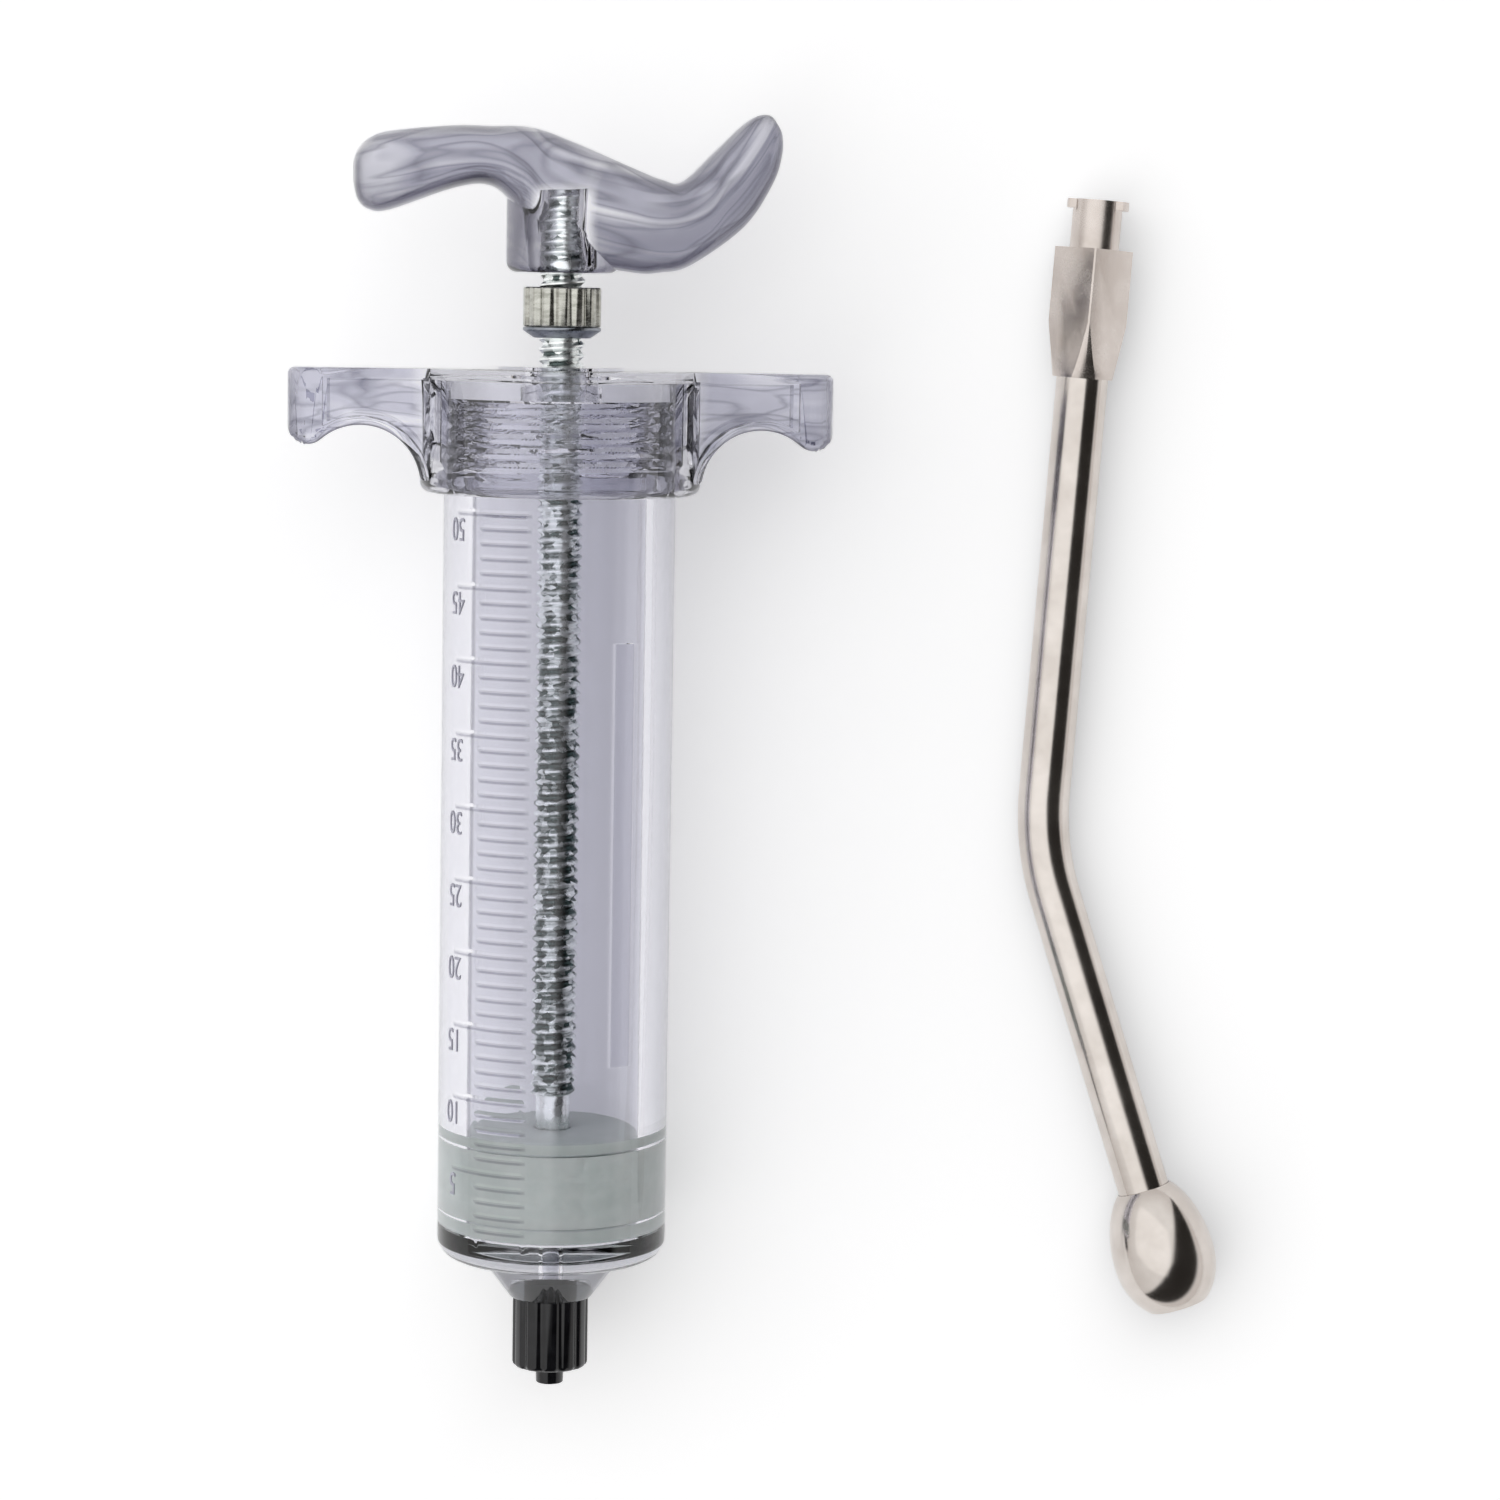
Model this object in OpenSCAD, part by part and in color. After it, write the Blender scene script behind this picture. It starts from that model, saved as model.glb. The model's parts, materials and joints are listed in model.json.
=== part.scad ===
// Livestock drencher: a 50 ml screw-rod drench syringe lying on a table, with its bent drench cannula beside it.
// The syringe is drawn on its own axis, with height 0 at the floor of the bore and the handle at the top, and is
// then laid down on the barrel's lower edge and the cap's skirt, with its finger wings nearly level.

/* [Barrel] */
// Bore of the barrel
bore_d = 24.8; // [22:0.1:28]
// Outside diameter of the barrel
barrel_d = 33; // [31:0.1:36]
// Capacity of the scale, in millilitres
scale_ml = 50; // [30:5:60]
// Thickness of the barrel's floor
floor_t = 4; // [3.2:0.1:5]
// Rounding of the barrel's lower edge
edge_r = 3; // [1:0.1:4]
// Height of the raised scale marks above the barrel
mark_rise = 0.15; // [0.1:0.01:0.2]
// Thickness of a scale mark along the barrel
mark_t = 0.4; // [0.3:0.05:0.8]
// Sweep of a 1 ml mark round the barrel, in degrees
mark_sweep = 29; // [20:1:40]
// Sweep of a 5 ml mark round the barrel, in degrees
long_mark_sweep = 47; // [36:1:60]
// Angle from the middle of the wings' front to the near end of the marks, in degrees
mark_turn = 15; // [0:1:90]
// Lower end of the plain raised panel beside the scale
panel_low = 26; // [10:1:40]
// Upper end of the plain raised panel
panel_high = 86; // [60:1:100]
// Angle from the middle of the wings' front to the panel's near edge, in degrees
panel_turn = 26; // [0:1:60]
// Sweep of the panel round the barrel, in degrees
panel_sweep = 12; // [8:1:40]

/* [Barrel mouth] */
// Length of the barrel's outside thread
thread_len = 11; // [8:0.5:12]
// Pitch of the barrel's thread
thread_pitch = 2; // [1.5:0.1:2.5]
// Depth of the barrel's thread
thread_depth = 0.8; // [0.5:0.05:1]
// How far the mouth stands in from the rest of the barrel, under the cap
mouth_step = 0.25; // [0.2:0.05:0.4]

/* [Spigot and luer nozzle] */
// Width of the spigot where it leaves the barrel's floor
spigot_d = 21; // [16:0.1:22]
// Width of the spigot's end
spigot_end_d = 11.9; // [11:0.1:13]
// Length of the spigot
spigot_len = 6; // [4:0.1:8]
// Diameter of the nozzle's stem in the spigot
stem_d = 7.8; // [7:0.1:8.6]
// Depth of the stem's hole from the spigot's end
stem_hole_depth = 5.4; // [4.5:0.1:6]
// Diameter of the nozzle's passage
passage_d = 2.4; // [1.6:0.1:2.8]
// Diameter of the nozzle's tapered end
nozzle_end_d = 3.95; // [3.7:0.05:4.2]
// Taper of luer fittings, in millimetres of diameter per millimetre of length
luer_taper = 0.06; // [0.05:0.005:0.07]
// Thickness of the nozzle's flange under the spigot
flange_t = 1.2; // [0.8:0.1:2]
// Diameter of the nozzle's flange
flange_d = 9.2; // [8.4:0.1:9.6]
// How far the nozzle stands out of the collar
nozzle_reach = 2.5; // [2:0.1:5]
// Thickness of the flat ring that seals the nozzle
seal_t = 1; // [0.6:0.1:1.6]

/* [Locking collar] */
// Diameter of the locking collar
collar_d = 10.9; // [10.7:0.1:13]
// Length of the locking collar
collar_len = 10.3; // [8:0.1:14]
// Thickness of the collar's inner web
collar_web_t = 1; // [0.6:0.1:2]
// Number of flutes round the collar
collar_flutes = 12; // [8:1:16]

/* [Finger grip] */
// Diameter of the cap's skirt
skirt_d = 40; // [38:0.1:43]
// Height of the cap, from its top face to the bottom of its skirt
skirt_len = 17.5; // [15:0.1:20]
// Rounding of the skirt's lower edge
skirt_edge_r = 1.6; // [0.5:0.1:2]
// Thickness of the cap's top plate
cap_plate_t = 1.8; // [1.5:0.1:3]
// Free height between the barrel's rim and the top plate
rim_gap = 2.4; // [1:0.1:4]
// Diameter of the guide boss round the rod
boss_d = 11.5; // [9:0.1:14]
// Diameter of the raised pad on the top plate
pad_d = 18; // [14:0.1:24]
// Height of the raised pad
pad_h = 0.4; // [0.2:0.05:1]
// Reach of a finger wing from the axis
wing_reach = 38.5; // [37:0.1:46]
// Depth of the wings from front to back
wing_depth = 15; // [13:0.1:20]
// Rounding of the wings' corners, seen from the handle
wing_corner_r = 5; // [2:0.1:6]
// Height of a wing over the crown of its finger arch
arch_drop = 8; // [6:0.1:9.5]
// Radius of the finger arch
arch_r = 8.4; // [7:0.1:9]
// Height of a wing at the bulb on its end
bulb_drop = 10.8; // [10:0.1:12]
// Radius of the bulb on a wing's end
bulb_r = 2.9; // [2.5:0.1:4]
// Depth of the pockets in the wings' front and back
pocket_depth = 3; // [1:0.1:4]
// Rim left round a pocket
pocket_rim = 1.3; // [1:0.1:2.5]
// Solid block left at the end of a wing
wing_block = 5; // [4:0.1:7]

/* [Piston] */
// Radial clearance of the piston in the bore
piston_fit = 0.1; // [0.05:0.01:0.2]
// Gap left under the piston when it is pushed home
piston_gap = 0.3; // [0.2:0.1:2]
// Thickness of the piston's lower plate
lower_plate_t = 2.2; // [1.5:0.1:3]
// Height of the silicone
silicone_h = 10.4; // [8:0.1:16]
// Thickness of the piston's upper plate
upper_plate_t = 2; // [1.5:0.1:3]
// How far the plates stand in from the silicone's lips
plate_inset = 0.2; // [0.2:0.1:1.5]
// Height of a lip of the silicone
lip_h = 2.6; // [1.5:0.1:3]
// Depth of the grooves between the lips
lip_depth = 0.6; // [0.3:0.1:1]
// Diameter of the core's tube in the silicone
core_d = 10; // [9:0.1:12]
// Free height over the piston when it is drawn right out
piston_room = 0.9; // [0.5:0.1:3]

/* [Plunger rod] */
// Diameter of the rod over its thread
rod_d = 6.5; // [6:0.1:7]
// Pitch of the rod's thread
rod_pitch = 1.5; // [1.25:0.05:1.75]
// Depth of the rod's thread
rod_thread_depth = 0.55; // [0.3:0.05:0.7]
// Diameter of the smooth neck at the rod's lower end
neck_d = 4.9; // [4.5:0.1:5]
// Length of the smooth neck that shows over the piston
neck_len = 5; // [3:0.1:10]
// Radial clearance of the rod in the cap
rod_guide_gap = 0.25; // [0.2:0.05:0.4]
// Radial clearance of turning and screwed pieces on the rod
rod_fit = 0.06; // [0.03:0.01:0.1]
// Diameter of the retaining ring on the rod's tail
clip_d = 7.6; // [7:0.1:7.8]
// Thickness of the retaining ring
clip_t = 0.8; // [0.6:0.1:1.2]
// Depth of the retaining ring's groove
clip_groove = 0.35; // [0.2:0.05:0.5]
// Length of the rod's tail below the retaining ring
tail_len = 5; // [2:0.1:7]

/* [Dose nut] */
// Free gap between the cap's pad and the stop washer
dose_gap = 4.1; // [2:0.1:10]
// Height of the stop washer
washer_h = 1.5; // [1:0.1:3]
// Width of the stop washer's lower end
washer_end_d = 8; // [7.5:0.1:10]
// Height of the fluted nut
nut_h = 5.6; // [4:0.1:8]
// Diameter of the fluted nut
nut_d = 11.1; // [10:0.1:13]
// Number of flutes round the nut
nut_flutes = 14; // [10:1:18]
// Radius of a flute
nut_flute_r = 0.45; // [0.3:0.05:0.6]
// Gap between the nut and the handle's hub
handle_gap = 2; // [1:0.1:4]

/* [Handle] */
// Reach of the handle from the axis
handle_reach = 30.8; // [28:0.1:36]
// Height of the handle over its hub's lower end
handle_rise = 22.7; // [21:0.1:26]
// Depth of the handle from front to back
handle_depth = 16; // [13:0.1:19]
// Diameter of the handle's hub
hub_d = 16; // [14:0.1:18]
// Rounding of the hub's lower edge
hub_edge_r = 1.5; // [0.5:0.1:3]
// Length of rod held in the handle
rod_grip = 11.5; // [8:0.1:13]

/* [Pose on the table] */
// Roll of the finger wings from level, in degrees
lie_roll = 4; // [0:0.5:12]

/* [Cannula] */
// Distance from the syringe's axis to the cannula's bend
cannula_offset = 70.3; // [62:0.1:90]
// Height of the cannula's bend along the syringe
cannula_height = 55.6; // [40:0.1:80]
// Lean of the cannula's upper leg from the syringe's axis, in degrees
upper_lean = 4; // [0:0.1:10]
// Lean of the cannula's lower leg the other way, in degrees
lower_lean = 18.2; // [10:0.1:30]
// Outside diameter of the tube
tube_d = 7.6; // [6:0.1:8]
// Bore of the tube
tube_bore_d = 5.2; // [3:0.1:5.4]
// Radius of the bend
bend_r = 40; // [25:1:80]
// Length from the bend to the hub
upper_len = 68.4; // [50:0.1:90]
// Length from the bend to the olive's widest place
lower_len = 63.3; // [45:0.1:90]
// Width of the square hub across its flats
square_w = 8.2; // [8:0.1:11]
// Turn of the hub's square from lying corner up, in degrees
hub_turn = 10; // [0:1:20]
// Width of the hub over its turned corners
corner_d = 11.3; // [10.5:0.1:11.5]
// Length of the square hub
square_len = 18.7; // [15:0.1:25]
// Length of the turned taper at the hub's lower end
taper_len = 8; // [4:0.1:10]
// Width of the hub's turned lower end
taper_end_d = 8.8; // [8.5:0.1:10]
// Depth of the tube in the hub and in the olive
socket_depth = 7; // [4:0.1:8]
// Diameter of the luer neck
luer_neck_d = 7.2; // [6.4:0.1:7.6]
// Length of the luer neck
luer_neck_len = 7; // [5:0.1:9]
// Diameter over the locking lugs
lug_d = 9; // [8.6:0.1:9.1]
// Width of a locking lug
lug_w = 4.4; // [3:0.1:5]
// Thickness of a locking lug
lug_t = 1.3; // [0.8:0.1:2]
// Mouth of the luer socket
luer_mouth_d = 4.3; // [4.1:0.05:4.5]
// Depth of the luer socket
luer_depth = 9; // [7:0.1:10]
// Diameter of the olive
olive_d = 15; // [12:0.1:17]
// Length of the olive from its neck to its widest place
olive_neck_len = 10.5; // [9:0.1:13]
// Length of the olive from its widest place to its flat end
olive_end_len = 7.6; // [7:0.1:12]
// Width of the olive's neck on the tube
olive_neck_d = 8.1; // [8:0.1:10]
// Width of the olive's flat end
olive_end_d = 8.4; // [6:0.1:10]
// Diameter of the outlet
outlet_d = 3; // [2:0.1:4]

/* [Hidden] */
$fn = 96;
// Radial gap between fixed pieces, gap between faces that only just part, and overcut of holes
fix_gap = 0.05;
face_gap = 0.05;
over = 1;

barrel_r = barrel_d / 2;
mouth_r = barrel_r - mouth_step;
bore_r = bore_d / 2;
ml_len = 1000 / (PI * bore_r * bore_r);
stroke = scale_ml * ml_len;
marks_per_label = 5;

// Heights of the piston's pieces when it is pushed home
core_top = piston_gap + lower_plate_t + silicone_h;
piston_top = core_top + 2 * face_gap + upper_plate_t;
rim = piston_top + stroke + piston_room;

// Heights below the bore's floor
spigot_end = -floor_t - spigot_len;
stem_hole_top = spigot_end + stem_hole_depth;
seal_bottom = stem_hole_top - face_gap - seal_t;
flange_top = spigot_end - face_gap;
flange_bottom = flange_top - flange_t;
collar_end = flange_top - collar_len;
nozzle_end = collar_end - nozzle_reach;
luer_slope = luer_taper / 2;
nozzle_root_d = nozzle_end_d + luer_taper * (flange_bottom - nozzle_end);
collar_flute_r = 0.5;
collar_edge = 0.4;

// Heights of the cap, the nut and the handle
cap_top = rim + rim_gap + cap_plate_t;
skirt_bottom = cap_top - skirt_len;
skirt_r = skirt_d / 2;
cap_bore_r = mouth_r + 3 * fix_gap;
washer_bottom = cap_top + pad_h + dose_gap;
nut_bottom = washer_bottom + washer_h + face_gap;
nut_top = nut_bottom + nut_h;
hub_bottom = nut_top + handle_gap;
rod_top = hub_bottom + rod_grip;
neck_top = piston_top + neck_len;
clip_bottom = core_top - clip_t - 4 * face_gap;
rod_bottom = clip_bottom - tail_len;
rod_r = rod_d / 2;
rod_hole_r = rod_r + rod_fit;
neck_hole_r = neck_d / 2 + rod_fit;

// Outline of a wing: the finger arch runs on smoothly into the bulb
bulb_x = wing_reach - bulb_r;
arch_z = -arch_drop - arch_r;
arch_x = bulb_x - sqrt(pow(arch_r + bulb_r, 2) - pow(arch_z + bulb_drop - bulb_r, 2));

// How the syringe lies: pitched on its skirt and lower edge
lower_contact = edge_r - floor_t;
skirt_contact = skirt_bottom + skirt_edge_r;
lie_pitch = asin((skirt_r - barrel_r) / (skirt_contact - lower_contact));
lie_height = (barrel_r - edge_r) * cos(lie_pitch) + edge_r - lower_contact * sin(lie_pitch);
wing_corner = [wing_reach - wing_corner_r, wing_depth / 2 - wing_corner_r];

// How the cannula lies: on its bend, a corner of its hub and its olive
corner_r = corner_d / 2;
cannula_bend = upper_lean + lower_lean;
bend_tangent = bend_r * tan(cannula_bend / 2);
hub_bearing = (upper_len + taper_len) * [sin(upper_lean), cos(upper_lean)];
olive_bearing = lower_len * [sin(lower_lean), -cos(lower_lean)];
bearing_rise = [corner_r * cos(hub_turn) - tube_d / 2, (olive_d - tube_d) / 2];
bearing_area = hub_bearing[0] * olive_bearing[1] - hub_bearing[1] * olive_bearing[0];
slope_x = (bearing_rise[0] * olive_bearing[1] - hub_bearing[1] * bearing_rise[1]) / bearing_area;
slope_y = (hub_bearing[0] * bearing_rise[1] - bearing_rise[0] * olive_bearing[0]) / bearing_area;

// The middle of the set on the table
set_left = wing_corner[0] * cos(lie_roll) + wing_corner[1] * sin(lie_roll) + wing_corner_r;
olive_half = norm([olive_end_len * sin(lower_lean), olive_d / 2 * cos(lower_lean)]);
set_right = cannula_offset + olive_bearing[0] + olive_half;
set_x = (set_right - set_left) / 2;
set_y = (hub_bottom + handle_rise + nozzle_end) / 2 * cos(lie_pitch);

// Rails of the handle from its left end to its hooked right end. Each row has the upper rail and the lower rail,
// in hundredths of the handle's reach and rise, and the depth there in hundredths of the handle's depth.
handle_rails = [
    [-96, 67, -96, 53, 22], [-94, 74, -94, 43, 62], [-89, 81, -89, 37, 82], [-79, 86, -79, 37, 92],
    [-50, 90, -50, 51, 98], [-33, 90, -34, 53, 100], [-17, 90, -23, 41, 100], [-1, 84, -8, 12, 100],
    [33, 65, 30, 1, 100], [45, 59, 45, 1, 98], [54, 58, 59, 6, 95], [68, 76, 83, 30, 85],
    [81, 93, 96, 57, 68], [88, 99, 100, 75, 55], [93, 100, 100, 87, 38], [96, 98, 98, 93, 14]];
rail_steps = 3;
section_sides = 20;
section_power = 0.62;

// A point on a smooth curve through a list of rows, at step t counted in rows
function row_at(rows, i) = rows[min(max(i, 0), len(rows) - 1)];
function smooth_row(rows, t) =
    let (i = min(floor(t), len(rows) - 2), u = t - i)
    let (a = row_at(rows, i - 1), b = row_at(rows, i), c = row_at(rows, i + 1), d = row_at(rows, i + 2))
    (2 * b + (c - a) * u + (2 * a - 5 * b + 4 * c - d) * u * u + (3 * b - a - 3 * c + d) * u * u * u) / 2;
function signed_power(v, p) = sign(v) * pow(abs(v), p);

// A rounded cross-section of the handle between its two rails
function handle_section(row) =
    let (upper = [row[0] * handle_reach, row[1] * handle_rise] / 100)
    let (lower = [row[2] * handle_reach, row[3] * handle_rise] / 100)
    let (middle = (upper + lower) / 2, half = (upper - lower) / 2, deep = row[4] * handle_depth / 200)
    [for (k = [0 : section_sides - 1])
        let (turn = 360 * k / section_sides)
        let (up = signed_power(cos(turn), section_power), out = signed_power(sin(turn), section_power))
        [middle[0] + half[0] * up, deep * out, middle[1] + half[1] * up]];

// Lays the syringe down on the table
module laid() {
    translate([-set_x, -set_y, lie_height])
        rotate([lie_pitch, 0, 0])
            rotate([-90, 0, 0])
                rotate([0, 0, lie_roll])
                    children();
}

// Lays the cannula down beside the syringe, with its bend at the origin and its legs in the XY plane
module cannula_laid() {
    translate([cannula_offset - set_x, cannula_height - set_y, tube_d / 2])
        rotate(atan(norm([slope_x, slope_y])), [slope_y, -slope_x, 0])
            children();
}

// Turns the Z axis along the cannula's upper leg, away from the bend
module upper_leg() {
    rotate([0, 0, -upper_lean])
        rotate([-90, 0, 0])
            children();
}

// Turns the Z axis along the cannula's lower leg, away from the bend
module lower_leg() {
    rotate([0, 0, lower_lean])
        rotate([90, 0, 0])
            children();
}

// Half section from the axis out to r, between two heights
module half_slab(r, bottom, top) {
    translate([0, bottom])
        square([r, top - bottom]);
}

// The same with its lower outer corner rounded
module rounded_slab(r, bottom, top, round_r) {
    half_slab(r, bottom + round_r, top);
    half_slab(r - round_r, bottom, top);
    translate([r - round_r, bottom + round_r])
        circle(round_r);
}

// Half section of a row of V ridges with their base at r, pointing outwards for a positive depth
module ridge_row(r, bottom, count, pitch, depth, base) {
    for (i = [0 : count - 1])
        translate([r, bottom + (i + 0.5) * pitch])
            polygon([[0, -base / 2], [depth, -base * 0.1], [depth, base * 0.1], [0, base / 2]]);
}

// Raised marks round the barrel for each millilitre, as far as the cap's skirt leaves them bare. The piston's
// lower face reads them.
module scale_marks() {
    for (i = [1 : scale_ml])
        let (height = piston_gap + i * ml_len)
        let (sweep = i % marks_per_label == 0 ? long_mark_sweep : mark_sweep)
            if (height + mark_t < skirt_bottom)
                translate([0, 0, height])
                    rotate([0, 0, 270 - mark_turn - sweep])
                        rotate_extrude(angle = sweep)
                            translate([barrel_r - mark_rise, -mark_t / 2])
                                square([2 * mark_rise, mark_t]);
}

// Plain raised panel beside the scale
module scale_panel() {
    translate([0, 0, panel_low])
        rotate([0, 0, 270 + panel_turn])
            rotate_extrude(angle = panel_sweep)
                translate([barrel_r - mark_rise, 0])
                    square([2 * mark_rise, panel_high - panel_low]);
}

module barrel() {
    thread_count = floor(thread_len / thread_pitch);
    color("lavender", 0.4) laid() {
        rotate_extrude() difference() {
            union() {
                rounded_slab(barrel_r, -floor_t, skirt_bottom - face_gap, edge_r);
                half_slab(mouth_r, 0, rim);
                polygon([[0, spigot_end], [spigot_end_d / 2, spigot_end], [spigot_d / 2, -floor_t], [0, -floor_t]]);
            }
            half_slab(bore_r, 0, rim + over);
            half_slab(passage_d / 2, spigot_end, over);
            half_slab(stem_d / 2 + fix_gap, spigot_end - over, stem_hole_top);
            ridge_row(mouth_r + fix_gap, rim - thread_count * thread_pitch, thread_count, thread_pitch,
                -thread_depth - fix_gap, thread_pitch * 0.7);
        }
        scale_marks();
        scale_panel();
    }
}

// Side view of one wing, with its top at height 0. Inset shapes make the pockets.
module wing_outline(inset, end_inset) {
    reach = wing_reach - end_inset;
    difference() {
        union() {
            translate([0, -bulb_drop + bulb_r])
                square([reach, bulb_drop - bulb_r - inset]);
            if (end_inset == 0)
                translate([bulb_x, -bulb_drop + bulb_r])
                    circle(bulb_r);
            translate([0, -bulb_drop + inset])
                square([min(bulb_x, reach), bulb_drop - 2 * inset]);
            translate([0, -skirt_len + inset])
                square([arch_x, skirt_len - 2 * inset]);
        }
        translate([arch_x, arch_z])
            circle(arch_r + inset);
        translate([arch_x - arch_r - inset, -skirt_len - over])
            square([2 * (arch_r + inset), arch_z + skirt_len + over]);
    }
}

// Plan of both wings, with rounded corners
module wing_plan() {
    translate([-wing_reach, -wing_corner[1]])
        square([2 * wing_reach, 2 * wing_corner[1]]);
    translate([-wing_corner[0], -wing_depth / 2])
        square([2 * wing_corner[0], wing_depth]);
    for (x = [-1, 1], y = [-1, 1])
        translate([x * wing_corner[0], y * wing_corner[1]])
            circle(wing_corner_r);
}

// One wing's side view drawn out from front to back
module wing_slab(depth, inset, end_inset) {
    rotate([90, 0, 0])
        linear_extrude(depth, center = true)
            wing_outline(inset, end_inset);
}

module wings() {
    translate([0, 0, cap_top]) difference() {
        intersection() {
            translate([0, 0, -skirt_len])
                linear_extrude(skirt_len)
                    wing_plan();
            union() {
                wing_slab(wing_depth, 0, 0);
                mirror([1, 0, 0])
                    wing_slab(wing_depth, 0, 0);
            }
        }
        for (side = [0, 1], face = [-1, 1])
            mirror([side, 0, 0])
                translate([0, face * wing_depth / 2, 0])
                    wing_slab(2 * pocket_depth, pocket_rim, wing_block);
    }
}

module finger_grip() {
    ridge_count = floor(thread_len / thread_pitch);
    ridge_fit = 3 * fix_gap;
    color("lavender", 0.4) laid() {
        difference() {
            union() {
                wings();
                rotate_extrude() rounded_slab(skirt_r, skirt_bottom, cap_top, skirt_edge_r);
                cylinder(h = cap_top + pad_h, d = pad_d);
            }
            rotate_extrude() difference() {
                half_slab(cap_bore_r, -over, rim + rim_gap);
                half_slab(boss_d / 2, rim + fix_gap, cap_top);
                ridge_row(cap_bore_r + fix_gap, rim - ridge_count * thread_pitch, ridge_count, thread_pitch,
                    -thread_depth + ridge_fit, thread_pitch * 0.7 - 2 * ridge_fit);
            }
            cylinder(h = cap_top + pad_h + over, r = rod_r + rod_guide_gap);
        }
    }
}

module nozzle_seal() {
    color("dimgray") laid()
        rotate_extrude() difference() {
            half_slab(stem_d / 2 - fix_gap, seal_bottom, seal_bottom + seal_t);
            half_slab(passage_d / 2 + fix_gap, seal_bottom - over, seal_bottom + seal_t + over);
        }
}

module luer_nozzle() {
    color("#202024") laid()
        rotate_extrude() difference() {
            union() {
                half_slab(stem_d / 2, flange_bottom, seal_bottom - face_gap);
                half_slab(flange_d / 2, flange_bottom, flange_top);
                polygon([[0, nozzle_end], [nozzle_end_d / 2, nozzle_end], [nozzle_root_d / 2, flange_bottom],
                    [0, flange_bottom]]);
            }
            half_slab(passage_d / 2, nozzle_end - over, over);
        }
}

module luer_collar() {
    web_bottom = flange_bottom - face_gap - collar_web_t;
    color("#151518") laid() difference() {
        rotate_extrude() difference() {
            union() {
                half_slab(collar_d / 2, collar_end + collar_edge, flange_top);
                half_slab(collar_d / 2 - collar_edge, collar_end, flange_top);
            }
            half_slab(flange_d / 2 + fix_gap, flange_bottom - face_gap, over);
            half_slab(nozzle_root_d / 2 + 2 * fix_gap, collar_end - over, over);
            half_slab(lug_d / 2 + 2 * fix_gap, collar_end - over, web_bottom);
        }
        for (i = [0 : collar_flutes - 1])
            rotate([0, 0, 360 * (i + 0.5) / collar_flutes])
                translate([collar_d / 2 + collar_flute_r * 0.4, 0, collar_end - over])
                    cylinder(h = collar_len + 2 * over, r = collar_flute_r, $fn = 32);
    }
}

module piston_core() {
    plate_r = bore_r - piston_fit - plate_inset;
    color("gainsboro") laid()
        rotate_extrude() difference() {
            union() {
                half_slab(plate_r, piston_gap, piston_gap + lower_plate_t);
                half_slab(core_d / 2, piston_gap, core_top);
            }
            half_slab(neck_hole_r, rod_bottom - 2 * face_gap, core_top + over);
            half_slab(clip_d / 2 + 2 * fix_gap, clip_bottom - 2 * face_gap, core_top + over);
        }
}

module piston_seal() {
    lip_r = bore_r - piston_fit;
    bottom = piston_gap + lower_plate_t + face_gap;
    lip_step = (core_top - bottom - lip_h) / 2;
    color("#c3cdca") laid()
        rotate_extrude() difference() {
            union() {
                half_slab(lip_r - lip_depth, bottom, core_top);
                for (i = [0 : 2])
                    half_slab(lip_r, bottom + i * lip_step, bottom + i * lip_step + lip_h);
            }
            half_slab(core_d / 2 + fix_gap, bottom - over, core_top + over);
        }
}

module piston_cap() {
    plate_r = bore_r - piston_fit - plate_inset;
    color("gainsboro") laid()
        rotate_extrude() difference() {
            half_slab(plate_r, core_top + 2 * face_gap, piston_top);
            half_slab(neck_hole_r, core_top, piston_top + over);
        }
}

module plunger_rod() {
    turns = floor((rod_top - neck_top) / rod_pitch);
    thread_bottom = rod_top - turns * rod_pitch;
    color("silver") laid()
        rotate_extrude() difference() {
            union() {
                half_slab(rod_r - rod_thread_depth, neck_top, rod_top);
                ridge_row(rod_r - rod_thread_depth - fix_gap, thread_bottom, turns, rod_pitch,
                    rod_thread_depth + fix_gap, rod_pitch * 0.9);
                half_slab(neck_d / 2, rod_bottom, neck_top);
            }
            translate([neck_d / 2 - clip_groove, clip_bottom])
                square([clip_groove + over, clip_t]);
        }
}

module rod_clip() {
    color("dimgray") laid()
        rotate_extrude() difference() {
            half_slab(clip_d / 2, clip_bottom + face_gap, clip_bottom + clip_t - face_gap);
            half_slab(neck_d / 2 - clip_groove + fix_gap, clip_bottom, clip_bottom + clip_t);
        }
}

// The handle's body, lofted through its rails
module handle_body() {
    steps = (len(handle_rails) - 1) * rail_steps;
    rings = [for (i = [0 : steps]) handle_section(smooth_row(handle_rails, i / rail_steps))];
    points = [for (ring = rings) each ring];
    sides = section_sides;
    walls = [for (i = [0 : steps - 1], k = [0 : sides - 1])
        let (a = i * sides + k, b = i * sides + (k + 1) % sides)
        each [[a, b, a + sides], [b, b + sides, a + sides]]];
    last = steps * sides;
    ends = [for (k = [1 : sides - 2]) each [[0, k + 1, k], [last, last + k, last + k + 1]]];
    polyhedron(points, concat(walls, ends));
}

module handle() {
    hub_h = handle_rise / 2;
    color("lavender", 0.4) laid()
        translate([0, 0, hub_bottom]) difference() {
            union() {
                handle_body();
                rotate_extrude() rounded_slab(hub_d / 2, 0, hub_h, hub_edge_r);
            }
            translate([0, 0, -over])
                cylinder(h = rod_grip + face_gap + over, r = rod_hole_r);
        }
}

module stop_washer() {
    color("slategray") laid()
        rotate_extrude() difference() {
            polygon([[0, washer_bottom], [washer_end_d / 2, washer_bottom], [nut_d / 2, washer_bottom + washer_h * 0.7],
                [nut_d / 2, washer_bottom + washer_h], [0, washer_bottom + washer_h]]);
            half_slab(rod_hole_r, washer_bottom - over, nut_top);
        }
}

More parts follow.
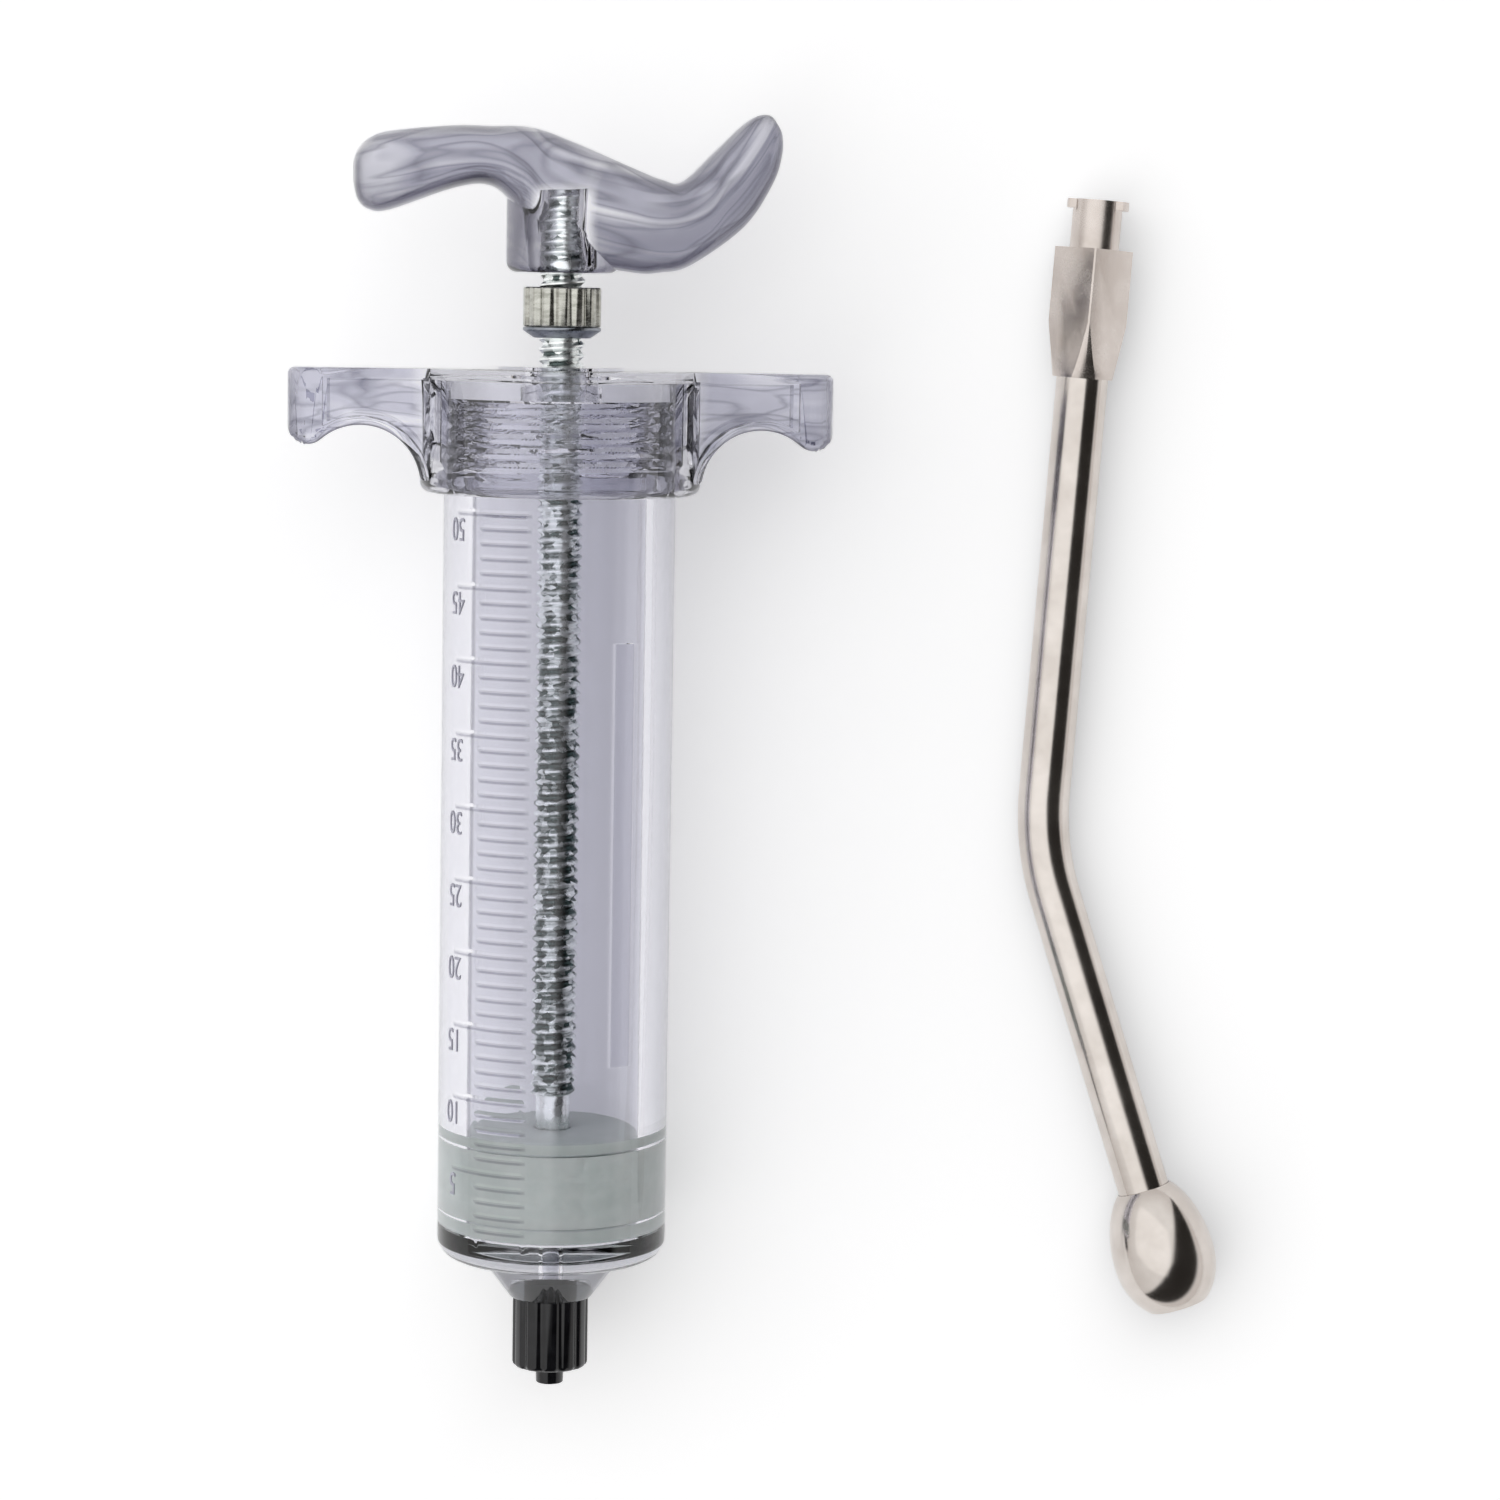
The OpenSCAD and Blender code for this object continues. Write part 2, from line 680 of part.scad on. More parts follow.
module dose_nut() {
    color("#8f8f86") laid() difference() {
        translate([0, 0, nut_bottom])
            cylinder(h = nut_h, d = nut_d);
        translate([0, 0, nut_bottom - over])
            cylinder(h = nut_h + 2 * over, r = rod_hole_r);
        for (i = [0 : nut_flutes - 1])
            rotate([0, 0, 360 * i / nut_flutes])
                translate([nut_d / 2, 0, nut_bottom - over])
                    cylinder(h = nut_h + 2 * over, r = nut_flute_r, $fn = 32);
    }
}

// Cross-section of the tube's wall, thinned all round by slack
module tube_wall(slack) {
    difference() {
        circle(d = tube_d - 2 * slack);
        circle(d = tube_bore_d - 2 * slack);
    }
}

module cannula_tube() {
    // The bend is a hair thinner and runs a little way into both legs
    bend_slack = 0.02;
    bend_lap = 0.7;
    color("#c9bfb6") cannula_laid() {
        rotate([0, 0, -upper_lean])
            translate([bend_r, bend_tangent, 0])
                rotate([0, 0, 180 - bend_lap])
                    rotate_extrude(angle = cannula_bend + 2 * bend_lap)
                        translate([bend_r, 0])
                            tube_wall(bend_slack);
        upper_leg()
            translate([0, 0, bend_tangent])
                linear_extrude(upper_len + socket_depth - bend_tangent)
                    tube_wall(0);
        lower_leg()
            translate([0, 0, bend_tangent])
                linear_extrude(lower_len - olive_neck_len + socket_depth - bend_tangent)
                    tube_wall(0);
    }
}

module cannula_hub() {
    square_top = upper_len + square_len;
    hub_top = square_top + luer_neck_len;
    luer_bottom = hub_top - luer_depth;
    color("#c9bfb6") cannula_laid() upper_leg() difference() {
        union() {
            intersection() {
                translate([0, 0, upper_len])
                    rotate([0, 0, 45 + hub_turn])
                        translate([-square_w / 2, -square_w / 2, 0])
                            cube([square_w, square_w, square_len]);
                union() {
                    translate([0, 0, upper_len])
                        cylinder(h = taper_len, d1 = taper_end_d, d2 = corner_d);
                    translate([0, 0, upper_len + taper_len])
                        cylinder(h = square_len, d = corner_d);
                }
            }
            cylinder(h = hub_top, d = luer_neck_d);
            intersection() {
                translate([0, 0, hub_top - lug_t])
                    cylinder(h = lug_t, d = lug_d);
                translate([-lug_d, -lug_w / 2, hub_top - lug_t])
                    cube([2 * lug_d, lug_w, lug_t]);
            }
        }
        translate([0, 0, -over])
            cylinder(h = upper_len + socket_depth + face_gap + over, r = tube_d / 2 + fix_gap);
        cylinder(h = hub_top, d = passage_d);
        translate([0, 0, luer_bottom])
            cylinder(h = luer_depth + over, r1 = luer_mouth_d / 2 - luer_slope * luer_depth,
                r2 = luer_mouth_d / 2 + luer_slope * over);
    }
}

module cannula_olive() {
    steps = 12;
    bottom = lower_len - olive_neck_len;
    top = lower_len + olive_end_len;
    // Both halves follow an ellipse until the neck and the flat end cut it off
    neck_turn = acos(olive_neck_d / olive_d);
    end_turn = acos(olive_end_d / olive_d);
    profile = [for (i = [-steps : steps])
        let (limit = i < 0 ? neck_turn : end_turn, half = i < 0 ? olive_neck_len : olive_end_len)
        let (turn = limit * i / steps)
        [olive_d / 2 * cos(turn), lower_len + half * sin(turn) / sin(limit)]];
    color("#c9bfb6") cannula_laid() lower_leg()
        difference() {
            rotate_extrude() polygon(concat([[0, bottom]], profile, [[0, top]]));
            translate([0, 0, bottom - over])
                cylinder(h = socket_depth + face_gap + over, r = tube_d / 2 + fix_gap);
            cylinder(h = top + over, d = outlet_d);
        }
}

barrel();
finger_grip();
nozzle_seal();
luer_nozzle();
luer_collar();
piston_core();
piston_seal();
piston_cap();
plunger_rod();
rod_clip();
handle();
stop_washer();
dose_nut();
cannula_hub();
cannula_tube();
cannula_olive();
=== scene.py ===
import json
import math
from types import SimpleNamespace

import bmesh
import bpy
from mathutils import Matrix, Vector


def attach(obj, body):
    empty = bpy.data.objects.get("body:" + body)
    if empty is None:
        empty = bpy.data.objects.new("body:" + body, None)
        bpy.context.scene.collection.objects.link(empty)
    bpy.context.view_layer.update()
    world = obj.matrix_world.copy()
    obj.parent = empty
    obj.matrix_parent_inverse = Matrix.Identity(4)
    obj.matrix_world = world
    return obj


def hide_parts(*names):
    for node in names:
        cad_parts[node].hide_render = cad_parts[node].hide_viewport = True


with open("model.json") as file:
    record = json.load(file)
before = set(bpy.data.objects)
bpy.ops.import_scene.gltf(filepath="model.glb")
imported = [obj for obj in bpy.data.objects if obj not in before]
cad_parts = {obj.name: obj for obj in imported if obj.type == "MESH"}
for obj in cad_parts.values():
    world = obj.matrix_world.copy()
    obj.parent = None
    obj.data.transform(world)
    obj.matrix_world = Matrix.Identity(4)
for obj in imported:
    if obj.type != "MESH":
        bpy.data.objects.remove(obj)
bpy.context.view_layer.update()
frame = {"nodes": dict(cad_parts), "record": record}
scene = bpy.context.scene
mounts = {m["name"]: m for m in frame["record"]["mounts"]}
print("frame loaded:", len(frame["nodes"]), "nodes")

# Everything is modelled in millimetres on its own axis and then laid where the frame has it.
syringePose = {"wingRoll": 4.0, "nozzleEnd": -22.85}
cannulaPose = {"hubReach": 94.1, "slope": (0.212379, 0.00829656), "upperLean": 4.0, "lowerLean": 18.2}
millimetre = 0.001
mergeWithin = 1e-4


def named(values):
    return SimpleNamespace(**values)


def turned(degrees, axis, size=4):
    return Matrix.Rotation(math.radians(degrees), size, axis)


def fromAxes(axes, origin):
    place = Matrix.Identity(4)
    for i, axis in enumerate(axes):
        place.col[i] = (*axis, 0)
    place.col[3] = (*origin, 1)
    return place


def syringePlace():
    along = -Vector(mounts["luer_tip"]["axis"])
    across = Vector((1, 0, 0))
    down = along.cross(across)
    turn = math.radians(syringePose["wingRoll"])
    right = across * math.cos(turn) + down * math.sin(turn)
    back = down * math.cos(turn) - across * math.sin(turn)
    origin = Vector(mounts["luer_tip"]["pos_m"]) - along * syringePose["nozzleEnd"] * millimetre
    return fromAxes([axis * millimetre for axis in (right, back, along)], origin)


def cannulaPlace():
    mouth = mounts["cannula_luer_socket"]
    bend = Vector(mouth["pos_m"]) - Vector(mouth["axis"]) * cannulaPose["hubReach"] * millimetre
    slopeX, slopeY = cannulaPose["slope"]
    tilt = Matrix.Rotation(math.atan(math.hypot(slopeX, slopeY)), 4, Vector((slopeY, -slopeX, 0)))
    return Matrix.Translation(bend) @ tilt @ Matrix.Scale(millimetre, 4)


laid = syringePlace()
laidCannula = cannulaPlace()
alongUpper = laidCannula @ turned(-cannulaPose["upperLean"], "Z")
upperLeg = alongUpper @ turned(-90, "X")
lowerLeg = laidCannula @ turned(cannulaPose["lowerLean"], "Z") @ turned(90, "X")
frontAxis = laid.col[1].xyz.normalized()
handleAxis = laid.col[2].xyz.normalized()


# tools for meshes


def spinProfile(points, sides=96, ring=True):
    bm = bmesh.new()
    verts = [bm.verts.new((r, 0, z)) for r, z in points]
    pairs = list(zip(verts, verts[1:]))
    if ring:
        pairs.append((verts[-1], verts[0]))
    edges = [bm.edges.new(pair) for pair in pairs]
    bmesh.ops.spin(bm, geom=verts + edges, cent=(0, 0, 0), axis=(0, 0, 1), angle=math.tau, steps=sides,
                   use_merge=True)
    bmesh.ops.remove_doubles(bm, verts=bm.verts, dist=mergeWithin)
    bmesh.ops.recalc_face_normals(bm, faces=bm.faces)
    return bm


def ofKind(items, kind):
    return [item for item in items if isinstance(item, kind)]


def prism(points, start, end):
    # a flat outline in X and Z, drawn out along Y
    bm = bmesh.new()
    face = bm.faces.new([bm.verts.new((x, start, z)) for x, z in points])
    drawn = bmesh.ops.extrude_face_region(bm, geom=[face])
    moved = ofKind(drawn["geom"], bmesh.types.BMVert)
    bmesh.ops.translate(bm, verts=moved, vec=(0, end - start, 0))
    bmesh.ops.recalc_face_normals(bm, faces=bm.faces)
    return bm


def arc(centreX, centreZ, radius, fromDegrees, toDegrees, steps):
    turns = [math.radians(fromDegrees + (toDegrees - fromDegrees) * i / steps) for i in range(steps + 1)]
    return [(centreX + radius * math.cos(t), centreZ + radius * math.sin(t)) for t in turns]


def turnMesh(bm, degrees, axis):
    bmesh.ops.rotate(bm, cent=(0, 0, 0), matrix=turned(degrees, axis, 3), verts=bm.verts)


def moveMesh(bm, x, y, z):
    bmesh.ops.translate(bm, verts=bm.verts, vec=(x, y, z))


def softenEdges(bm, width, segments=3, sharperThan=30, chosen=None, clamp=True):
    sharp = math.radians(sharperThan)
    edges = [e for e in bm.edges if len(e.link_faces) == 2 and e.calc_face_angle() > sharp]
    if chosen:
        edges = [e for e in edges if all(chosen(v.co) for v in e.verts)]
    bmesh.ops.bevel(bm, geom=edges, offset=width, offset_type="OFFSET", affect="EDGES", segments=segments,
                    profile=0.5, material=-1, clamp_overlap=clamp)


def takeMesh(name, bm):
    mesh = bpy.data.meshes.new(name)
    bm.to_mesh(mesh)
    bm.free()
    return mesh


def addObject(name, data):
    obj = bpy.data.objects.new(name, data)
    scene.collection.objects.link(obj)
    return obj


def joinMeshes(*parts):
    whole = bmesh.new()
    for bm in parts:
        mesh = takeMesh("joined", bm)
        whole.from_mesh(mesh)
        bpy.data.meshes.remove(mesh)
    return whole


def combine(base, operation, other):
    # boolean of two closed meshes, given back as a bmesh
    objects = [addObject("operand", takeMesh("operand", bm)) for bm in (base, other)]
    cut = objects[0].modifiers.new("combine", "BOOLEAN")
    cut.operation = operation
    cut.solver = "EXACT"
    cut.object = objects[1]
    made = evaluatedMesh(objects[0])
    result = bmesh.new()
    result.from_mesh(made)
    bmesh.ops.remove_doubles(result, verts=result.verts, dist=mergeWithin)
    bpy.data.meshes.remove(made)
    for obj in objects:
        mesh = obj.data
        bpy.data.objects.remove(obj)
        bpy.data.meshes.remove(mesh)
    return result


def evaluatedMesh(obj):
    bpy.context.view_layer.update()
    return bpy.data.meshes.new_from_object(obj.evaluated_get(bpy.context.evaluated_depsgraph_get()))


def axisDistance(point):
    return math.hypot(point.x, point.y)


def pushOut(vert, push):
    radius = axisDistance(vert.co)
    vert.co.x *= (radius + push) / radius
    vert.co.y *= (radius + push) / radius


def cutFlutes(bm, s, turn=0.0):
    # round grooves down the outside, with flat lands between them
    for v in bm.verts:
        if axisDistance(v.co) > s.outR - s.fluteReach:
            phase = abs(((math.atan2(v.co.y, v.co.x) + turn) * s.flutes / math.tau + 0.5) % 1 - 0.5) * 2
            if phase < s.fluteShare:
                pushOut(v, -s.fluteDepth * math.sqrt(1 - (phase / s.fluteShare) ** 2))


def smoothStep(low, high, x):
    t = min(max((x - low) / (high - low), 0), 1)
    return t * t * (3 - 2 * t)


def finishPiece(name, bm, place, body, node, material, smoothUnder=35):
    bmesh.ops.transform(bm, matrix=place, verts=bm.verts)
    mesh = takeMesh(name, bm)
    mesh.polygons.foreach_set("use_smooth", [True] * len(mesh.polygons))
    mesh.set_sharp_from_angle(angle=math.radians(smoothUnder))
    mesh.materials.append(material)
    obj = addObject(name, mesh)
    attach(obj, body)
    if node:
        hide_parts(node)
    print("piece", name, "faces", len(mesh.polygons))


# tools for materials


def setInputs(tree, node, values):
    # an input takes a number, a vector, a colour as a tuple, or another node's output
    for key, value in values.items():
        if isinstance(value, bpy.types.NodeSocket):
            tree.links.new(value, node.inputs[key])
        elif isinstance(value, tuple):
            node.inputs[key].default_value = (*value, 1)
        else:
            node.inputs[key].default_value = value


def addNode(tree, kind, values={}, **settings):
    node = tree.nodes.new(kind)
    for key, value in settings.items():
        setattr(node, key, value)
    setInputs(tree, node, values)
    return node


def calc(tree, operation, first, second=0.0):
    return addNode(tree, "ShaderNodeMath", {0: first, 1: second}, operation=operation).outputs["Value"]


def times(tree, first, second):
    return calc(tree, "MULTIPLY", first, second)


def dot(tree, first, second):
    node = addNode(tree, "ShaderNodeVectorMath", {0: first, 1: second}, operation="DOT_PRODUCT")
    return node.outputs["Value"]


def ramp(tree, value, low, high, start=0.0, end=1.0, kind="LINEAR"):
    values = {"Value": value, "From Min": low, "From Max": high, "To Min": start, "To Max": end}
    return addNode(tree, "ShaderNodeMapRange", values, interpolation_type=kind).outputs["Result"]


def fade(tree, value, low, high):
    return ramp(tree, value, low, high, 1.0, 0.0)


def mixColour(tree, factor, first, second):
    return addNode(tree, "ShaderNodeMix", {0: factor, 6: first, 7: second}, data_type="RGBA").outputs[2]


def noise(tree, vector, scale, detail, rough=0.5, distortion=0.0):
    node = addNode(tree, "ShaderNodeTexNoise", {"Vector": vector, "Scale": scale, "Detail": detail})
    setInputs(tree, node, {"Roughness": rough, "Distortion": distortion})
    return node.outputs["Fac"]


def addBump(tree, shader, height, strength, distance):
    raised = addNode(tree, "ShaderNodeBump", {"Height": height, "Strength": strength, "Distance": distance})
    setInputs(tree, shader, {"Normal": raised.outputs["Normal"]})


def splitVector(tree, vector):
    parts = addNode(tree, "ShaderNodeSeparateXYZ", {"Vector": vector}).outputs
    return parts["X"], parts["Y"], parts["Z"]


def axisRadius(tree, x, y):
    return calc(tree, "SQRT", calc(tree, "ADD", times(tree, x, x), times(tree, y, y)))


def groupShell(name, inputs, outputs):
    # an input with no value is a vector
    tree = bpy.data.node_groups.new(name, "ShaderNodeTree")
    for socketName, value in inputs.items():
        kind = "NodeSocketVector" if value is None else "NodeSocketFloat"
        socket = tree.interface.new_socket(socketName, in_out="INPUT", socket_type=kind)
        if value is not None:
            socket.default_value = value
    for socketName in outputs:
        tree.interface.new_socket(socketName, in_out="OUTPUT", socket_type="NodeSocketFloat")
    return tree, tree.nodes.new("NodeGroupInput").outputs, tree.nodes.new("NodeGroupOutput")


grainMix = {
    "broadDetail": 3.0, "broadRough": 0.55, "fineDetail": 4.0, "fineRough": 0.6, "fineShare": 0.4,
    "range": (0.3, 0.7), "tintRange": (0.35, 0.65)}
rimShadeShape = {"edgeOnFrom": (0.7, 0.97), "upperLean": (-0.2, 0.3)}


def buildGrainGroup():
    # broad cloudiness with fine grain over it: a roughness between two values, and a height for bump
    look = named(grainMix)
    inputs = {"Vector": None, "Broad": 0.2, "Fine": 3.0, "Low": 0.1, "High": 0.3}
    tree, given, end = groupShell("surfaceGrain", inputs, ["Roughness", "Height", "Cloud"])
    broad = noise(tree, given["Vector"], given["Broad"], look.broadDetail, look.broadRough)
    fine = noise(tree, given["Vector"], given["Fine"], look.fineDetail, look.fineRough)
    blend = addNode(tree, "ShaderNodeMix", {0: look.fineShare, 2: broad, 3: fine}, data_type="FLOAT")
    rough = ramp(tree, blend.outputs[0], *look.range, given["Low"], given["High"])
    setInputs(tree, end, {"Roughness": rough, "Height": fine, "Cloud": broad})
    return tree


def buildRimShadeGroup():
    # where painted shade goes: near 1 on a rim that turns away from an axis, 0 where the surface faces along
    # it
    inputs = {"Normal": None, "Axis": None, "From": 0.6, "To": 1.0, "EdgeOn": 0.3}
    tree, given, end = groupShell("turnedEdgeShade", inputs, ["Mask"])
    away = calc(tree, "SUBTRACT", 1.0, calc(tree, "ABSOLUTE", dot(tree, given["Normal"], given["Axis"])))
    rim = ramp(tree, away, given["From"], given["To"], kind="SMOOTHSTEP")
    # a face that is flat and edge-on keeps only a share, so that it stays clear when seen straight
    kept = ramp(tree, away, *rimShadeShape["edgeOnFrom"], 1.0, given["EdgeOn"])
    setInputs(tree, end, {"Mask": times(tree, rim, kept)})
    return tree


grainGroup = buildGrainGroup()
rimShadeGroup = buildRimShadeGroup()


def startMaterial(name, place, stretch=(1, 1, 1)):
    # coordinates in millimetres on the piece's own axis
    material = bpy.data.materials.new(name)
    material.use_nodes = True
    tree = material.node_tree
    coords = addNode(tree, "ShaderNodeTexCoord")
    back = place.inverted()
    mapping = addNode(tree, "ShaderNodeMapping", {
        "Vector": coords.outputs["Object"], "Location": back.translation,
        "Rotation": back.to_3x3().normalized().to_euler(), "Scale": [1 / millimetre] * 3})
    values = {0: mapping.outputs["Vector"], 1: Vector(stretch)}
    stretched = addNode(tree, "ShaderNodeVectorMath", values, operation="MULTIPLY")
    return material, tree, tree.nodes["Principled BSDF"], stretched.outputs["Vector"]


def addGrain(tree, shader, vector, broad, fine, rough):
    values = {"Vector": vector, "Broad": broad, "Fine": fine, "Low": rough[0], "High": rough[1]}
    grain = addNode(tree, "ShaderNodeGroup", values, node_tree=grainGroup)
    setInputs(tree, shader, {"Roughness": grain.outputs["Roughness"]})
    return grain.outputs["Height"], grain.outputs["Cloud"]


def grained(name, place, dark, light, broad, fine, rough, bump, stretch=(1, 1, 1)):
    material, tree, shader, vector = startMaterial(name, place, stretch)
    height, cloud = addGrain(tree, shader, vector, broad, fine, rough)
    addBump(tree, shader, height, bump, 0.05 * millimetre)
    spread = ramp(tree, cloud, *grainMix["tintRange"])
    setInputs(tree, shader, {"Base Color": mixColour(tree, spread, dark, light)})
    return material, tree, shader


def metal(name, place, **look):
    material, tree, shader = grained(name, place, **look)
    setInputs(tree, shader, {"Metallic": 1.0})
    return material


def solidPlastic(name, subsurface=0.0, **look):
    material, tree, shader = grained(name, laid, **look)
    setInputs(tree, shader, {"IOR": 1.48})
    if subsurface:
        setInputs(tree, shader, {"Subsurface Weight": subsurface, "Subsurface Scale": 1.0,
                                 "Subsurface Radius": [0.003, 0.0035, 0.0035]})
    return material


def surfaceNormal(tree):
    return tree.nodes["Texture Coordinate"].outputs["Normal"]


def axisLean(tree):
    # how far the surface faces along the syringe, towards the handle
    return dot(tree, surfaceNormal(tree), handleAxis)


def rimShadeMask(tree, low, high, upper=1.0, edgeOn=0.3):
    # painted shade on the edges of clear plastic, darker than the front, those towards the handle by a share
    # of that
    values = {"Normal": surfaceNormal(tree), "Axis": frontAxis, "From": low, "To": high, "EdgeOn": edgeOn}
    edge = addNode(tree, "ShaderNodeGroup", values, node_tree=rimShadeGroup)
    share = ramp(tree, axisLean(tree), *rimShadeShape["upperLean"], 1.0, upper)
    return times(tree, edge.outputs["Mask"], share)


def paintedStreaks(tree, place, look):
    # painted streaks of light and shade in thick clear plastic: thin lines of painted shade with painted
    # light in patches between
    scaled = {i: times(tree, part, scale) for i, (part, scale) in enumerate(zip(place, look.flow))}
    flow = addNode(tree, "ShaderNodeCombineXYZ", scaled)
    cloud = noise(tree, flow.outputs["Vector"], 1.0, 1.5, 0.45, 0.5)
    streaked = mixColour(tree, ramp(tree, cloud, *look.paleFrom), look.tint, look.pale)
    offLine = calc(tree, "ABSOLUTE", calc(tree, "SUBTRACT", cloud, 0.5))
    onLine = ramp(tree, offLine, 0.0, look.lineWidth, look.lineShare, 0.0)
    return mixColour(tree, onLine, streaked, look.line)


def clearPlastic(name, tone, look):
    # tone is a function that gives the tint's socket from the tree and the local coordinates
    material, tree, shader, vector = startMaterial(name, laid)
    height, cloud = addGrain(tree, shader, vector, 0.08, 0.2, (0.0, look["rough"]))
    addBump(tree, shader, height, look["bump"], 0.1 * millimetre)
    setInputs(tree, shader, {"Transmission Weight": 1.0, "IOR": 1.49, "Base Color": tone(tree, vector)})
    # light reaches what is inside through a tinted see-through shadow
    passing = addNode(tree, "ShaderNodeBsdfTransparent", {"Color": look["shade"]})
    path = addNode(tree, "ShaderNodeLightPath")
    mix = addNode(tree, "ShaderNodeMixShader", {
        "Fac": path.outputs["Is Shadow Ray"], 1: shader.outputs["BSDF"], 2: passing.outputs["BSDF"]})
    setInputs(tree, tree.nodes["Material Output"], {"Surface": mix.outputs["Shader"]})
    return material


print("material tools ready")


# barrel, with its raised scale on the left and a raised panel on the right

barrelSpec = {
    "boreR": 12.4, "wallR": 16.5, "mouthR": 16.25, "rim": 119.409, "skirtBottom": 106.059, "floor": -4.0,
    "floorEdge": 0.5, "rimEdge": 0.3, "edgeR": 3.0, "spigotTopR": 10.5, "spigotEndR": 5.95,
    "spigotEnd": -10.0, "spigotSoften": 0.3, "stemR": 3.95, "stemTop": -4.6, "passageR": 1.2,
    "threadPitch": 2.0, "threadDepth": 0.8, "threadTurns": 5, "threadRow": 0.2, "threadRunOut": (0.5, 1.2),
    "grooveHalf": 0.35, "grooveFlat": 1.25, "columns": 180}
scaleSpec = {
    "zero": 0.3, "millilitre": 2.07017, "count": 50, "rise": 0.15, "halfTop": 0.13, "halfFoot": 0.6,
    "nearEnd": -15, "shortSweep": 29, "longSweep": 47}
panelSpec = {"low": 26.0, "high": 86.0, "near": 26, "far": 38, "rise": 0.15, "slope": 0.12}
barrelLook = {
    "tint": (0.81, 0.81, 0.86), "edge": (0.66, 0.66, 0.73), "edgeFrom": (0.7, 1.0),
    "shade": (0.95, 0.95, 0.97), "markDark": (0.30, 0.30, 0.36), "markLight": (0.97, 0.97, 1.0),
    "markLean": 0.25, "panel": (0.62, 0.62, 0.70), "panelTop": (0.1, 0.13), "proud": (0.01, 0.06),
    "scaleSide": (-1.0, -2.0), "panelSide": (2.0, 3.0), "spigot": (0.40, 0.40, 0.45),
    "spigotEdge": (0.06, 0.06, 0.08), "spigotEdgeFrom": (0.1, 0.6), "spigotBelow": (-3.6, -4.4),
    "boreLine": (0.16, 0.16, 0.20), "boreLineFrom": (56.0, 58.0), "boreLineTo": (60.5, 62.0),
    "boreDepth": (0.05, 0.1), "rough": 0.01, "bump": 0.1}


def radiansOf(pair):
    return [math.radians(d) for d in pair]


def barrelTone(tree, vector):
    s, look = named(barrelSpec), named(barrelLook)
    x, y, z = splitVector(tree, vector)
    # painted shade on the barrel's rims that turn away from the front
    toned = mixColour(tree, rimShadeMask(tree, *look.edgeFrom), look.tint, look.edge)
    # below the floor the spigot is painted a darker grey, with near-black painted shade on its rims
    spigot = mixColour(tree, rimShadeMask(tree, *look.spigotEdgeFrom), look.spigot, look.spigotEdge)
    toned = mixColour(tree, ramp(tree, z, *look.spigotBelow), toned, spigot)
    # a line of painted shade down each side of the bore, where its wall turns away
    radius = axisRadius(tree, x, y)
    turn = calc(tree, "ARCTAN2", calc(tree, "ABSOLUTE", x), times(tree, y, -1.0))
    onLine = times(tree, ramp(tree, turn, *radiansOf(look.boreLineFrom)),
                   fade(tree, turn, *radiansOf(look.boreLineTo)))
    inBore = fade(tree, radius, *[s.boreR + d for d in look.boreDepth])
    toned = mixColour(tree, times(tree, onLine, inBore), toned, look.boreLine)
    # each raised mark has a painted highlight on one slope and painted shade on the other
    proud = ramp(tree, radius, *[s.wallR + d for d in look.proud])
    side = ramp(tree, axisLean(tree), -look.markLean, look.markLean)
    onScale = times(tree, proud, ramp(tree, x, *look.scaleSide))
    toned = mixColour(tree, onScale, toned, mixColour(tree, side, look.markDark, look.markLight))
    # the raised panel is greyer, with painted highlights on the slopes round it
    onPanel = times(tree, proud, ramp(tree, x, *look.panelSide))
    top = ramp(tree, radius, *[s.wallR + d for d in look.panelTop])
    return mixColour(tree, onPanel, toned, mixColour(tree, top, look.markLight, look.panel))


